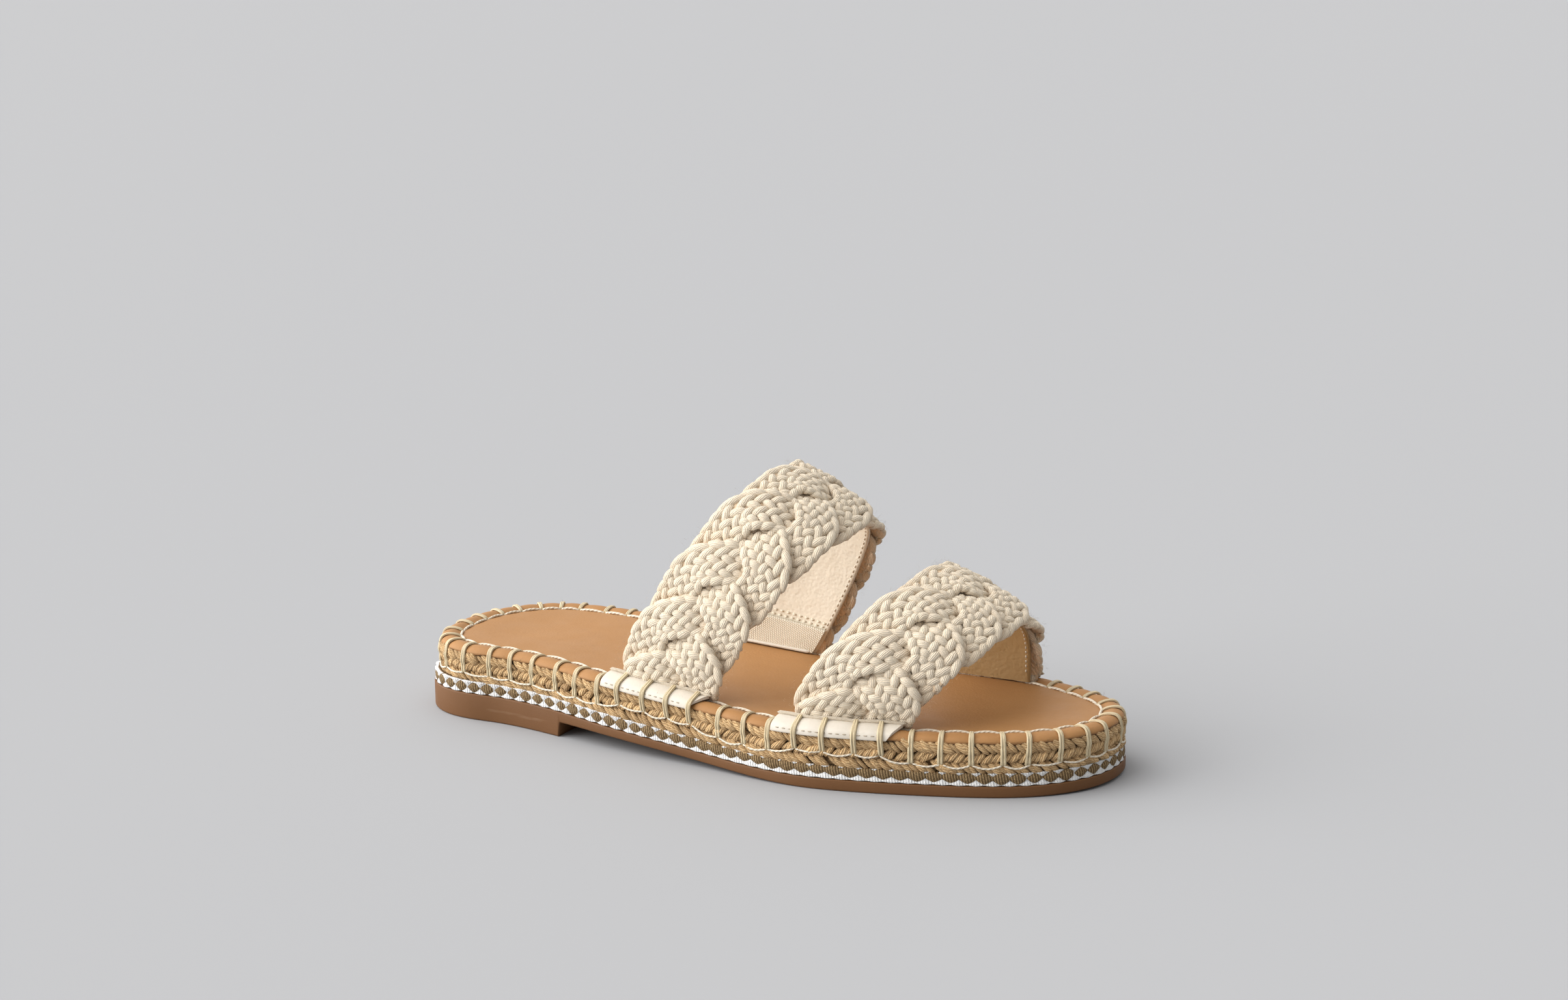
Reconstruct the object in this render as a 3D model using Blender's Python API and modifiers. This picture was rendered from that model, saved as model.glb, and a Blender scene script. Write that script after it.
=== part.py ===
"""Slide sandal, right foot: rubber outsole, woven trim, jute midsole, wrapped footbed and two plaited straps.

The last's own frame is used while the shapes are worked out, in millimetres: x runs from the back of the
heel (0) to the toe (LENGTH), -y is the outer (lateral) side, +y the inner (medial) side, z is up from the
floor. The finished pieces are moved so that the origin is under the middle of the sole, and scaled to metres.
"""
import math
from collections import namedtuple

import bmesh
import bpy
import numpy as np

MM = 0.001
GAP = 0.3

# Sole plan: centre line and half width along the length, rounded off at heel and toe
LENGTH = 253.0
PlanRow = namedtuple("PlanRow", "x centre half_width")
PLAN = [
    PlanRow(0.0, -4.2, 35.0),
    PlanRow(40.0, 0.9, 36.5),
    PlanRow(85.0, -3.7, 39.3),
    PlanRow(125.0, -4.4, 42.0),
    PlanRow(165.0, -4.0, 44.8),
    PlanRow(200.0, 1.6, 42.3),
    PlanRow(230.0, 4.2, 40.3),
    PlanRow(LENGTH, 6.7, 40.0),
]
HEEL_CAP_LENGTH = 32.0
HEEL_CAP_POWER = 2.25
TOE_CAP_LENGTH = 67.0
TOE_CAP_POWER = 2.16
HEEL_FLARE = 1.8
HEEL_FLARE_LENGTH = 40.0
PLAN_STATIONS = 43

# Sole heights
HEEL_RUBBER = 9.4
FOREFOOT_RUBBER = 3.8
FALL_START = 48.0
FALL_END = 159.0
HEEL_BREAST = 65.0
HEEL_BREAST_HALF_STEP = 0.25
WAIST_RISE = 5.2
BALL_CONTACT = 168.0
TOE_SPRING = 0.8
TOE_SPRING_START = 225.0

# Edge profiles of the sole's layers: inset from the outsole's outline, height above the rubber's top
EdgeRow = namedtuple("EdgeRow", "inset height")
TRIM_EDGE = [
    EdgeRow(0.5, GAP),
    EdgeRow(0.2, 1.3),
    EdgeRow(0.2, 3.5),
    EdgeRow(0.7, 4.4),
    EdgeRow(2.3, 4.4),
    EdgeRow(2.7, GAP),
]
JUTE_EDGE = [
    EdgeRow(3.1, GAP),
    EdgeRow(3.1, 4.3),
    EdgeRow(2.0, 5.0),
    EdgeRow(1.5, 6.7),
    EdgeRow(1.8, 8.4),
    EdgeRow(2.6, 9.0),
    EdgeRow(1.8, 9.7),
    EdgeRow(1.5, 11.6),
    EdgeRow(1.7, 13.5),
    EdgeRow(2.6, 14.2),
]
FOOTBED_EDGE = [
    EdgeRow(3.0, 14.2 + GAP),
    EdgeRow(1.8, 14.6),
    EdgeRow(1.5, 15.1),
    EdgeRow(1.8, 15.8),
    EdgeRow(3.4, 16.3),
    EdgeRow(5.8, 16.1),
    EdgeRow(7.9, 15.6),
    EdgeRow(10.5, 15.8),
]
FOOTBED_TOP = 15.8
OUTSOLE_BOTTOM_ROUND = 0.6
OUTSOLE_TOP_ROUND = 0.3

# Straps: each has a heel-side and a toe-side edge, an arch from the lateral base over the apex to the medial base
EdgeArch = namedtuple("EdgeArch", "lateral_x apex_x apex_y apex_z medial_x")
StrapRow = namedtuple("StrapRow", "name heel_edge toe_edge fullness lateral_lean medial_lean")
STRAPS = [
    StrapRow("strap_rear", EdgeArch(86.0, 128.2, 9.4, 91.4, 92.0), EdgeArch(127.0, 158.9, -0.3, 72.9, 132.0),
             3.4, 1.28, 0.9),
    StrapRow("strap_front", EdgeArch(154.0, 183.4, 10.9, 61.1, 172.3), EdgeArch(196.0, 214.1, 3.8, 44.3, 212.6),
             2.9, 1.4, 1.0),
]
STRAP_LATERAL_INSET = 9.0
STRAP_MEDIAL_INSET = 7.5
STRAP_FOOT_GAP = 0.5
STRAP_CROWN = 1.5
STRAP_BACKING = 2.75
STRAP_BASE_BACKING = 1.5
STRAP_BASE_LENGTH = 12.0
STRAP_CELLS_ALONG = 48
STRAP_CELLS_ACROSS = 13

# Plait of three bands: each band swings from edge to edge and passes over the next one on its way in
PLAIT_BANDS = 3
PLAIT_PERIOD = 66.0
PLAIT_START = 8.0
PLAIT_SWING = 11.0
PLAIT_BAND_HALF_WIDTH = 8.0
PLAIT_BAND_CROWN = 2.4
PLAIT_BAND_ROUNDNESS = 0.6
PLAIT_WEAVE = 1.4
PLAIT_FLOOR = -0.4

# Leather tabs over the footbed's rolled edge, outside the foot of each strap
TabRow = namedtuple("TabRow", "name side heel_x toe_x inner_inset")
TABS = [
    TabRow("tab_rear_lateral", -1, 84.0, 124.0, 6.6),
    TabRow("tab_rear_medial", 1, 91.0, 133.0, 4.6),
    TabRow("tab_front_lateral", -1, 152.5, 196.0, 6.6),
    TabRow("tab_front_medial", 1, 171.5, 213.0, 4.6),
]
TAB_EDGE = [
    EdgeRow(4.2, 17.9),
    EdgeRow(2.4, 16.8),
    EdgeRow(1.3, 15.8),
    EdgeRow(1.15, 14.7),
    EdgeRow(1.15, 13.6),
]
TAB_TOP_HEIGHT = 18.5
TAB_THICKNESS = 1.1
TAB_CELLS_ALONG = 8

# Elastic gore inside the medial end of the rear strap
GORE_HEIGHT = 12.0
GORE_MARGIN = 0.09
GORE_THICKNESS = 1.1
GORE_CELLS_UP = 3
GORE_CELLS_ACROSS = 10

Finish = namedtuple("Finish", "color roughness")
FINISHES = {
    "rubber": Finish((0.36, 0.21, 0.12, 1.0), 0.6),
    "trim": Finish((0.62, 0.55, 0.44, 1.0), 0.9),
    "jute": Finish((0.50, 0.35, 0.19, 1.0), 0.95),
    "footbed": Finish((0.50, 0.29, 0.14, 1.0), 0.5),
    "cotton": Finish((0.80, 0.74, 0.63, 1.0), 0.95),
    "white_leather": Finish((0.85, 0.81, 0.74, 1.0), 0.5),
    "elastic": Finish((0.74, 0.64, 0.48, 1.0), 0.85),
}


def smooth_step(x, start, end):
    t = np.clip((np.asarray(x, float) - start) / (end - start), 0.0, 1.0)
    return t * t * (3.0 - 2.0 * t)


def natural_spline(stations, values):
    """A smooth curve through the values, free of curvature at both ends."""
    xs = np.array(stations, float)
    ys = np.array(values, float)
    steps = np.diff(xs)
    count = len(xs)
    matrix = np.eye(count)
    right = np.zeros(count)
    for i in range(1, count - 1):
        matrix[i, i - 1:i + 2] = [steps[i - 1], 2.0 * (steps[i - 1] + steps[i]), steps[i]]
        right[i] = 6.0 * ((ys[i + 1] - ys[i]) / steps[i] - (ys[i] - ys[i - 1]) / steps[i - 1])
    bend = np.linalg.solve(matrix, right)

    def curve(x):
        x = np.asarray(x, float)
        i = np.clip(np.searchsorted(xs, x) - 1, 0, count - 2)
        h = steps[i]
        a = (xs[i + 1] - x) / h
        b = (x - xs[i]) / h
        pull = ((a ** 3 - a) * bend[i] + (b ** 3 - b) * bend[i + 1]) * h * h / 6.0
        return a * ys[i] + b * ys[i + 1] + pull

    return curve


plan_centre = natural_spline([row.x for row in PLAN], [row.centre for row in PLAN])
plan_half = natural_spline([row.x for row in PLAN], [row.half_width for row in PLAN])


def plan_width(x):
    """Half width of the sole at x, with the rounded heel and toe."""
    heel = np.clip((HEEL_CAP_LENGTH - x) / HEEL_CAP_LENGTH, 0.0, 1.0)
    toe = np.clip((x - LENGTH + TOE_CAP_LENGTH) / TOE_CAP_LENGTH, 0.0, 1.0)
    heel_round = (1.0 - heel ** HEEL_CAP_POWER) ** (1.0 / HEEL_CAP_POWER)
    toe_round = (1.0 - toe ** TOE_CAP_POWER) ** (1.0 / TOE_CAP_POWER)
    return plan_half(x) * heel_round * toe_round


def stations(count):
    """Places along the sole, closer together at heel and toe."""
    return LENGTH * (1.0 - np.cos(np.linspace(0.0, math.pi, count))) / 2.0


def outline(xs, inset, flare=0.0):
    """The sole's outline moved in by inset: heel, lateral side, toe, then the medial side back.

    flare is how far the back of the heel stands out beyond that.
    """
    lateral = np.column_stack([xs, plan_centre(xs) - plan_width(xs)])
    medial = np.column_stack([xs, plan_centre(xs) + plan_width(xs)])[-2:0:-1]
    loop = np.vstack([lateral, medial])
    tangent = np.roll(loop, -1, axis=0) - np.roll(loop, 1, axis=0)
    tangent /= np.linalg.norm(tangent, axis=1, keepdims=True)
    inward = np.column_stack([-tangent[:, 1], tangent[:, 0]])
    depth = inset - flare * (1.0 - smooth_step(loop[:, 0], 0.0, HEEL_FLARE_LENGTH))
    return loop + inward * depth[:, None]


def toe_spring(x):
    return TOE_SPRING * np.clip((x - TOE_SPRING_START) / (LENGTH - TOE_SPRING_START), 0.0, None) ** 2


def rubber_top(x):
    fall = smooth_step(x, FALL_START, FALL_END)
    return HEEL_RUBBER + (FOREFOOT_RUBBER - HEEL_RUBBER) * fall + toe_spring(x)


def rubber_bottom(x):
    """The floor under heel and forefoot, and the arch of the waist between them."""
    rise = WAIST_RISE * (1.0 - smooth_step(x, HEEL_BREAST, BALL_CONTACT))
    return np.where(x < HEEL_BREAST, 0.0, rise) + toe_spring(x)


def layer_loop(xs, inset, height, flare=0.0):
    flat = outline(xs, inset, flare)
    return np.column_stack([flat, rubber_top(flat[:, 0]) + height])


sole_outline = outline(stations(PLAN_STATIONS), 0.0, HEEL_FLARE)
MIDDLE = np.append((sole_outline.min(axis=0) + sole_outline.max(axis=0)) / 2.0, 0.0)


def side_y(x, side, inset):
    """The y of the outline at x on one side, moved in square to the outline."""
    step = 0.5
    slope = (plan_edge(x + step, side) - plan_edge(x - step, side)) / (2.0 * step)
    return plan_edge(x, side) - side * inset * math.sqrt(1.0 + slope * slope)


def plan_edge(x, side):
    return float(plan_centre(x) + side * plan_width(x))


def new_object(name, collection, points, faces, finish):
    """A mesh object from millimetre points, with its faces turned outward and its own material."""
    mesh = bpy.data.meshes.new(name)
    placed = (np.asarray(points, float) - MIDDLE) * MM
    mesh.from_pydata(placed.tolist(), [], faces)
    bm = bmesh.new()
    bm.from_mesh(mesh)
    bmesh.ops.recalc_face_normals(bm, faces=bm.faces)
    bm.to_mesh(mesh)
    bm.free()
    mesh.shade_smooth()
    mesh.set_sharp_from_angle(angle=math.radians(40.0))
    obj = bpy.data.objects.new(name, mesh)
    collection.objects.link(obj)
    mesh.materials.append(new_material(name, FINISHES[finish]))
    return obj


def new_material(name, finish):
    material = bpy.data.materials.new(name + "_material")
    material.use_nodes = True
    shader = material.node_tree.nodes["Principled BSDF"]
    shader.inputs["Base Color"].default_value = finish.color
    shader.inputs["Roughness"].default_value = finish.roughness
    shader.inputs["Metallic"].default_value = 0.0
    material.diffuse_color = finish.color
    return material


def band_faces(loop_count, size, closed):
    """Quads between neighbouring loops of the same size; closed also joins the last loop to the first."""
    faces = []
    for i in range(loop_count if closed else loop_count - 1):
        low = i * size
        high = ((i + 1) % loop_count) * size
        for j in range(size):
            k = (j + 1) % size
            faces.append((low + j, low + k, high + k, high + j))
    return faces


def ladder_faces(first, size):
    """A cap over one outline loop, as rungs from its lateral to its medial side."""
    half = size // 2
    faces = [(first, first + 1, first + size - 1)]
    for i in range(1, half - 1):
        faces.append((first + i, first + i + 1, first + size - i - 1, first + size - i))
    faces.append((first + half - 1, first + half, first + half + 1))
    return faces


def plate(name, collection, loops, finish):
    """A solid through outline loops from its underside to its top, closed at both."""
    size = len(loops[0])
    faces = band_faces(len(loops), size, closed=False)
    faces += ladder_faces(0, size)
    faces += ladder_faces((len(loops) - 1) * size, size)
    return new_object(name, collection, np.vstack(loops), faces, finish)


def outsole(collection):
    """Rubber sole with its heel block, arched waist and flat forefoot."""
    xs = stations(PLAN_STATIONS)
    clear = np.abs(xs - HEEL_BREAST) > 4.0 * HEEL_BREAST_HALF_STEP
    breast = [HEEL_BREAST - HEEL_BREAST_HALF_STEP, HEEL_BREAST + HEEL_BREAST_HALF_STEP]
    xs = np.sort(np.concatenate([xs[clear], breast]))
    wall = outline(xs, 0.0, HEEL_FLARE)
    tread = outline(xs, OUTSOLE_BOTTOM_ROUND, HEEL_FLARE)
    rim = outline(xs, OUTSOLE_TOP_ROUND, HEEL_FLARE)
    ground = rubber_bottom(np.concatenate([xs, xs[-2:0:-1]]))
    loops = [
        np.column_stack([tread, ground]),
        np.column_stack([wall, ground + OUTSOLE_BOTTOM_ROUND]),
        np.column_stack([wall, rubber_top(wall[:, 0]) - OUTSOLE_TOP_ROUND]),
        np.column_stack([rim, rubber_top(rim[:, 0])]),
    ]
    return plate("outsole", collection, loops, "rubber")


def trim_braid(collection):
    """The woven ribbon that stands on the outsole's rim all the way round."""
    xs = stations(PLAN_STATIONS)
    loops = [layer_loop(xs, row.inset, row.height, HEEL_FLARE) for row in TRIM_EDGE]
    faces = band_faces(len(loops), len(loops[0]), closed=True)
    return new_object("trim_braid", collection, np.vstack(loops), faces, "trim")


def layer_plate(name, collection, edge, finish):
    xs = stations(PLAN_STATIONS)
    loops = [layer_loop(xs, row.inset, row.height) for row in edge]
    return plate(name, collection, loops, finish)


def arch_edge(arch, strap, places):
    """Points of one strap edge; places run from 0 at the lateral base over 1 at the apex to 2 at the medial base."""
    places = np.asarray(places, float)
    lateral = places <= 1.0
    turn = np.where(lateral, places, 2.0 - places) * math.pi / 2.0
    out = np.cos(turn) ** (2.0 / strap.fullness)
    up = np.sin(turn) ** (2.0 / strap.fullness)
    base_x = np.where(lateral, arch.lateral_x, arch.medial_x)
    base_y = np.where(lateral, side_y(arch.lateral_x, -1, STRAP_LATERAL_INSET),
                      side_y(arch.medial_x, 1, STRAP_MEDIAL_INSET))
    base_z = rubber_top(base_x) + FOOTBED_TOP + STRAP_FOOT_GAP
    lean = np.where(lateral, up ** strap.lateral_lean, up ** strap.medial_lean)
    return np.column_stack([
        base_x + (arch.apex_x - base_x) * lean,
        arch.apex_y + (base_y - arch.apex_y) * out,
        base_z + (arch.apex_z - base_z) * up,
    ])


def strap_surface(strap, along, across):
    """Middle surface of a strap, its outward directions, and the length along its middle line.

    along and across are fractions: lateral base to medial base, heel-side edge to toe-side edge.
    """
    places = np.linspace(0.0, 2.0, 2001)
    heel = arch_edge(strap.heel_edge, strap, places)
    toe = arch_edge(strap.toe_edge, strap, places)
    middle = (heel + toe) / 2.0
    lengths = np.concatenate([[0.0], np.cumsum(np.linalg.norm(np.diff(middle, axis=0), axis=1))])
    wanted = np.asarray(along) * lengths[-1]
    heel = np.column_stack([np.interp(wanted, lengths, heel[:, i]) for i in range(3)])
    toe = np.column_stack([np.interp(wanted, lengths, toe[:, i]) for i in range(3)])
    share = np.asarray(across)[None, :, None]
    grid = heel[:, None, :] * (1.0 - share) + toe[:, None, :] * share
    outward = np.cross(np.gradient(grid, axis=1), np.gradient(grid, axis=0))
    outward /= np.linalg.norm(outward, axis=2, keepdims=True)
    if outward[len(grid) // 2, 0, 2] < 0.0:
        outward = -outward
    full = base_taper(wanted, lengths[-1])[:, None, None]
    grid = grid + outward * full * STRAP_CROWN * 4.0 * share * (1.0 - share)
    return grid, outward, lengths[-1]


def plait_height(length, offset):
    """Height of the plait's outer face above the strap's middle surface."""
    heights = [np.full(np.broadcast(length, offset).shape, PLAIT_FLOOR)]
    for band in range(PLAIT_BANDS):
        phase = 2.0 * math.pi * ((length - PLAIT_START) / PLAIT_PERIOD + band / PLAIT_BANDS)
        across = (offset - PLAIT_SWING * np.sin(phase)) / PLAIT_BAND_HALF_WIDTH
        rounded = np.clip(1.0 - across * across, 0.0, None) ** PLAIT_BAND_ROUNDNESS
        crest = PLAIT_BAND_CROWN - PLAIT_WEAVE * np.sin(2.0 * phase)
        heights.append(PLAIT_FLOOR + (crest - PLAIT_FLOOR) * rounded)
    return np.max(heights, axis=0)


def base_taper(length, total):
    """0 at either foot of a strap, rising to 1 where the plait has its full thickness."""
    return smooth_step(np.minimum(length, total - length), 0.0, STRAP_BASE_LENGTH)


def strap_wall(strap, collection):
    """A hollow arch: smooth inside, with the plait's bands raised on the outside."""
    along = np.linspace(0.0, 1.0, STRAP_CELLS_ALONG + 1)
    across = np.linspace(0.0, 1.0, STRAP_CELLS_ACROSS + 1)
    grid, outward, total = strap_surface(strap, along, across)
    length = (along * total)[:, None]
    width = np.linalg.norm(grid[:, -1] - grid[:, 0], axis=1)[:, None]
    full = base_taper(length, total)
    backing = STRAP_BASE_BACKING + (STRAP_BACKING - STRAP_BASE_BACKING) * full
    raised = plait_height(length, (across[None, :] - 0.5) * width)
    outer_height = STRAP_BASE_BACKING * (1.0 - full) + raised * full
    outer = grid + outward * outer_height[:, :, None]
    inner = grid - outward * (backing * np.ones_like(raised))[:, :, None]
    rows, columns = raised.shape
    points = np.vstack([outer.reshape(-1, 3), inner.reshape(-1, 3)])
    faces = shell_faces(rows, columns)
    return new_object(strap.name, collection, points, faces, "cotton")


def shell_faces(rows, columns):
    """Faces of a closed wall between two grids of the same size, the second behind the first."""
    back = rows * columns
    faces = []
    for i in range(rows - 1):
        for j in range(columns - 1):
            a = i * columns + j
            faces.append((a, a + 1, a + columns + 1, a + columns))
            faces.append((back + a, back + a + columns, back + a + columns + 1, back + a + 1))
    rim = [j for j in range(columns)]
    rim += [i * columns + columns - 1 for i in range(1, rows)]
    rim += [(rows - 1) * columns + j for j in range(columns - 2, -1, -1)]
    rim += [i * columns for i in range(rows - 2, 0, -1)]
    for a, b in zip(rim, rim[1:] + rim[:1]):
        faces.append((a, b, back + b, back + a))
    return faces


def sheet_faces(rows, columns):
    faces = []
    for i in range(rows - 1):
        for j in range(columns - 1):
            a = i * columns + j
            faces.append((a, a + 1, a + columns + 1, a + columns))
    return faces


def thicken(obj, thickness, away_from):
    """Solidify an open sheet outward, on the side that faces away from a millimetre point."""
    centre = (np.asarray(away_from, float) - MIDDLE) * MM
    face = obj.data.polygons[len(obj.data.polygons) // 2]
    outward = float(np.dot(face.normal, np.array(face.center) - centre)) > 0.0
    solidify = obj.modifiers.new("thickness", "SOLIDIFY")
    solidify.thickness = thickness * MM
    solidify.offset = 1.0 if outward else -1.0
    solidify.use_rim = True


def tab(row, collection):
    """A strip of leather folded over the footbed's rolled edge, following the outline."""
    xs = np.linspace(row.heel_x, row.toe_x, TAB_CELLS_ALONG + 1)
    edge = [EdgeRow(row.inner_inset, TAB_TOP_HEIGHT)] + TAB_EDGE
    points = []
    for profile in edge:
        for x in xs:
            y = side_y(x, row.side, profile.inset)
            points.append((x, y, float(rubber_top(x)) + profile.height))
    obj = new_object(row.name, collection, points, sheet_faces(len(edge), len(xs)), "white_leather")
    middle_x = (row.heel_x + row.toe_x) / 2.0
    thicken(obj, TAB_THICKNESS, (middle_x, float(plan_centre(middle_x)), 0.0))
    return obj


def elastic_gore(strap, collection):
    """The elastic panel inside the rear strap, above its medial foot."""
    total = strap_surface(strap, [0.0, 1.0], [0.0, 1.0])[2]
    along = 1.0 - np.linspace(0.0, GORE_HEIGHT / total, GORE_CELLS_UP + 1)[::-1]
    fine = np.linspace(0.0, 1.0, STRAP_CELLS_ALONG + 1)
    across = np.linspace(GORE_MARGIN, 1.0 - GORE_MARGIN, GORE_CELLS_ACROSS + 1)
    grid, outward, total = strap_surface(strap, np.union1d(fine, along), across)
    keep = np.isin(np.union1d(fine, along), along)
    full = base_taper(along * total, total)[:, None, None]
    backing = STRAP_BASE_BACKING + (STRAP_BACKING - STRAP_BASE_BACKING) * full
    sheet = grid[keep] - outward[keep] * (backing + GAP)
    points = sheet.reshape(-1, 3)
    faces = sheet_faces(len(along), len(across))
    obj = new_object("elastic_gore_rear", collection, points, faces, "elastic")
    middle = points.mean(axis=0)
    thicken(obj, GORE_THICKNESS, middle + np.array([0.0, LENGTH, 0.0]))
    return obj


def main():
    for obj in list(bpy.data.objects):
        bpy.data.objects.remove(obj, do_unlink=True)
    collection = bpy.data.collections.new("slide_sandal")
    bpy.context.scene.collection.children.link(collection)
    outsole(collection)
    trim_braid(collection)
    layer_plate("jute_midsole", collection, JUTE_EDGE, "jute")
    layer_plate("footbed", collection, FOOTBED_EDGE, "footbed")
    for strap in STRAPS:
        strap_wall(strap, collection)
    for row in TABS:
        tab(row, collection)
    elastic_gore(STRAPS[0], collection)


main()
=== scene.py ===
"""Looks of the slide sandal: braided straps, blanket stitch, jute, woven trim, leather and rubber.

Shapes are worked out in the last's own frame, in millimetres: x runs from the back of the heel to the toe,
-y is the outer (lateral) side, +y the inner (medial) side, z is up from the floor. add_piece moves them to
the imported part's frame, in metres.
"""

import math
from collections import namedtuple

import bpy
import numpy as np
from mathutils import Euler, Matrix, Vector

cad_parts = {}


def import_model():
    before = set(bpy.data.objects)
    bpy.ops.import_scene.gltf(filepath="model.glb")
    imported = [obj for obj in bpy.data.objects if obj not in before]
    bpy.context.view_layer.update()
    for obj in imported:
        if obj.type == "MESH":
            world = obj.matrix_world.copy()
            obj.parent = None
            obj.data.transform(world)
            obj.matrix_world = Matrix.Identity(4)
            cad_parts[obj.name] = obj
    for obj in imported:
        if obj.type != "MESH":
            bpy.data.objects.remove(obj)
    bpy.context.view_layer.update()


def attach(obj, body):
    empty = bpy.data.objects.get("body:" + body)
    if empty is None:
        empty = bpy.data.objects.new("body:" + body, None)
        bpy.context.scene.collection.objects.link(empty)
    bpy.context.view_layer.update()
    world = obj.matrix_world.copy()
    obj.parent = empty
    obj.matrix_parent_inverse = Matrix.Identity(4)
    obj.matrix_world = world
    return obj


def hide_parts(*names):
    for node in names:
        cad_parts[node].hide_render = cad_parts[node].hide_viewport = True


MM = 0.001
UP = (0.0, 0.0, 1.0)
SEED = 11
rng = np.random.default_rng(SEED)

# Tubes: how many sides cords, stitches and hairs have, and the size to which their ends close
CORD_SIDES = 8
STITCH_SIDES = 6
HAIR_SIDES = 3
HAIR_SAMPLES = 4
TUBE_END_SIZE = 0.05

# Sole plan, as in the part's source
LENGTH = 253.0
PlanRow = namedtuple("PlanRow", "x centre half_width")
PLAN = [PlanRow(*row) for row in (
    (0.0, -4.2, 35.0), (40.0, 0.9, 36.5), (85.0, -3.7, 39.3), (125.0, -4.4, 42.0),
    (165.0, -4.0, 44.8), (200.0, 1.6, 42.3), (230.0, 4.2, 40.3), (LENGTH, 6.7, 40.0),
)]
HEEL_CAP_LENGTH = 32.0
HEEL_CAP_POWER = 2.25
TOE_CAP_LENGTH = 67.0
TOE_CAP_POWER = 2.16
HEEL_FLARE = 1.8
HEEL_FLARE_LENGTH = 40.0
PLAN_STATIONS = 43
EDGE_STATIONS = 1201

# Sole heights, as in the part's source
HEEL_RUBBER = 9.4
FOREFOOT_RUBBER = 3.8
RUBBER_FALL = (48.0, 159.0)
HEEL_BREAST = 65.0
HEEL_BREAST_ROUND = 1.1
WAIST_RISE = 5.2
BALL_CONTACT = 168.0
TOE_SPRING = 0.8
TOE_SPRING_START = 225.0
FOOTBED_TOP = 15.8

# Outsole edge
OUTSOLE_STATIONS = 220
BREAST_STATIONS = 16
OUTSOLE_BOTTOM_ROUND = 0.8
OUTSOLE_TOP_ROUND = 0.4
ROUND_STEPS = 5

# Woven trim: brown knots in a row, white picots above and below between them
TRIM_KNOTS = 108
KNOT_COLUMNS = 12
TRIM_ROWS = 15
TRIM_MIDDLE = 2.3
TRIM_HALF_HEIGHT = 2.05
TRIM_INSET = 0.9
TRIM_BACK_INSET = 2.6
TRIM_KNOT_RELIEF = 0.75
TRIM_KNOT_POWER = 1.2
TRIM_KNOT_EDGE = (0.92, 1.08)
TRIM_PICOT_RELIEF = 0.65
TRIM_SCALLOP = 0.35
TRIM_WOBBLE = 0.09
TRIM_CHANGE = (80.0, 140.0)
TRIM_CHANGE_BACK = (195.0, 240.0)
TRIM_CHANGE_BACK_SHARE = 0.7
TRIM_FORWARD_RAISE = 0.34
TRIM_FORWARD_MERGE = 0.32

# Jute: two rows of strands that slant against each other and meet in a V line, and a twisted rope under them
StrandRow = namedtuple("StrandRow", "pitch start_height end_height lean start_inset middle_inset end_inset")
JUTE_ROWS = [
    StrandRow(2.15, 14.8, 10.4, 5.0, 2.2, 1.1, 1.9),
    StrandRow(2.15, 7.4, 11.3, 4.4, 2.4, 1.2, 2.0),
    StrandRow(2.4, 8.3, 3.3, 6.0, 2.7, 1.3, 2.7),
]
STRAND_HALF_WIDTH = 1.05
STRAND_HALF_HEIGHT = 0.9
STRAND_SAMPLES = 9
STRAND_END_SIZE = 0.45
STRAND_TINT = 0.95
# Strand ends are darker where they tuck under the next strands: painted shade.
STRAND_END_SHADE = 0.55
StrandSpread = namedtuple("StrandSpread", "start lean height inset size tint")
STRAND_SPREAD = StrandSpread(start=0.25, lean=0.13, height=0.2, inset=0.12, size=0.17, tint=0.13)
JUTE_CORE_COLUMNS = 300
JUTE_CORE_INSET = 2.9
JUTE_CORE_TOP = 14.4
# The core's low tint is painted shade, seen in the gaps between the strands.
JUTE_CORE_SHADE = 0.45
FIBRE_COUNT = 2200
FIBRE_HEIGHTS = (5.0, 14.2)
FIBRE_INSET = 1.0
FIBRE_RUN = 2.0
FIBRE_RISE = 1.2
FIBRE_STAND = 0.45
FIBRE_LEAST_STAND = 0.2
FIBRE_CURL = 0.8
FIBRE_RADIUS = 0.04
FIBRE_TINTS = (0.8, 1.3)

# Footbed: rolled edge that puffs between the stitches, then the flat top drawn in to a spine
EdgeRow = namedtuple("EdgeRow", "inset height")
FOOTBED_EDGE = [EdgeRow(*row) for row in (
    (3.2, 13.6), (1.45, 14.05), (1.0, 14.15), (0.95, 14.45), (1.25, 15.1), (1.9, 15.75), (3.0, 16.25),
    (4.3, 16.5), (5.9, 16.25), (7.2, 15.75), (8.1, 15.5), (9.2, 15.65), (11.0, 15.8),
)]
FOOTBED_COLUMNS = 720
FOOTBED_EDGE_SAMPLES = 32
FOOTBED_RINGS = 14
FOOTBED_PINCH = 0.6
FOOTBED_SWELL = 0.25
FOOTBED_PUFF_END = (6.0, 8.5)
FOOTBED_CUT_WANDER = 0.3
FOOTBED_CUT_WAVES = (37.0, 83.0)
FOOTBED_CUT_HEIGHTS = (13.7, 15.2)
# Rows of the roll's underside that are darkened: the raw cut edge's own colour, and painted shade under the
# roll.
FOOTBED_RAW_EDGE_AND_SHADE_ROWS = (5.0, 6.5)
FOOTBED_DISH = 0.6
FOOTBED_DISH_SHARE = 0.8
SPINE = (38.0, 208.0)

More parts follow.
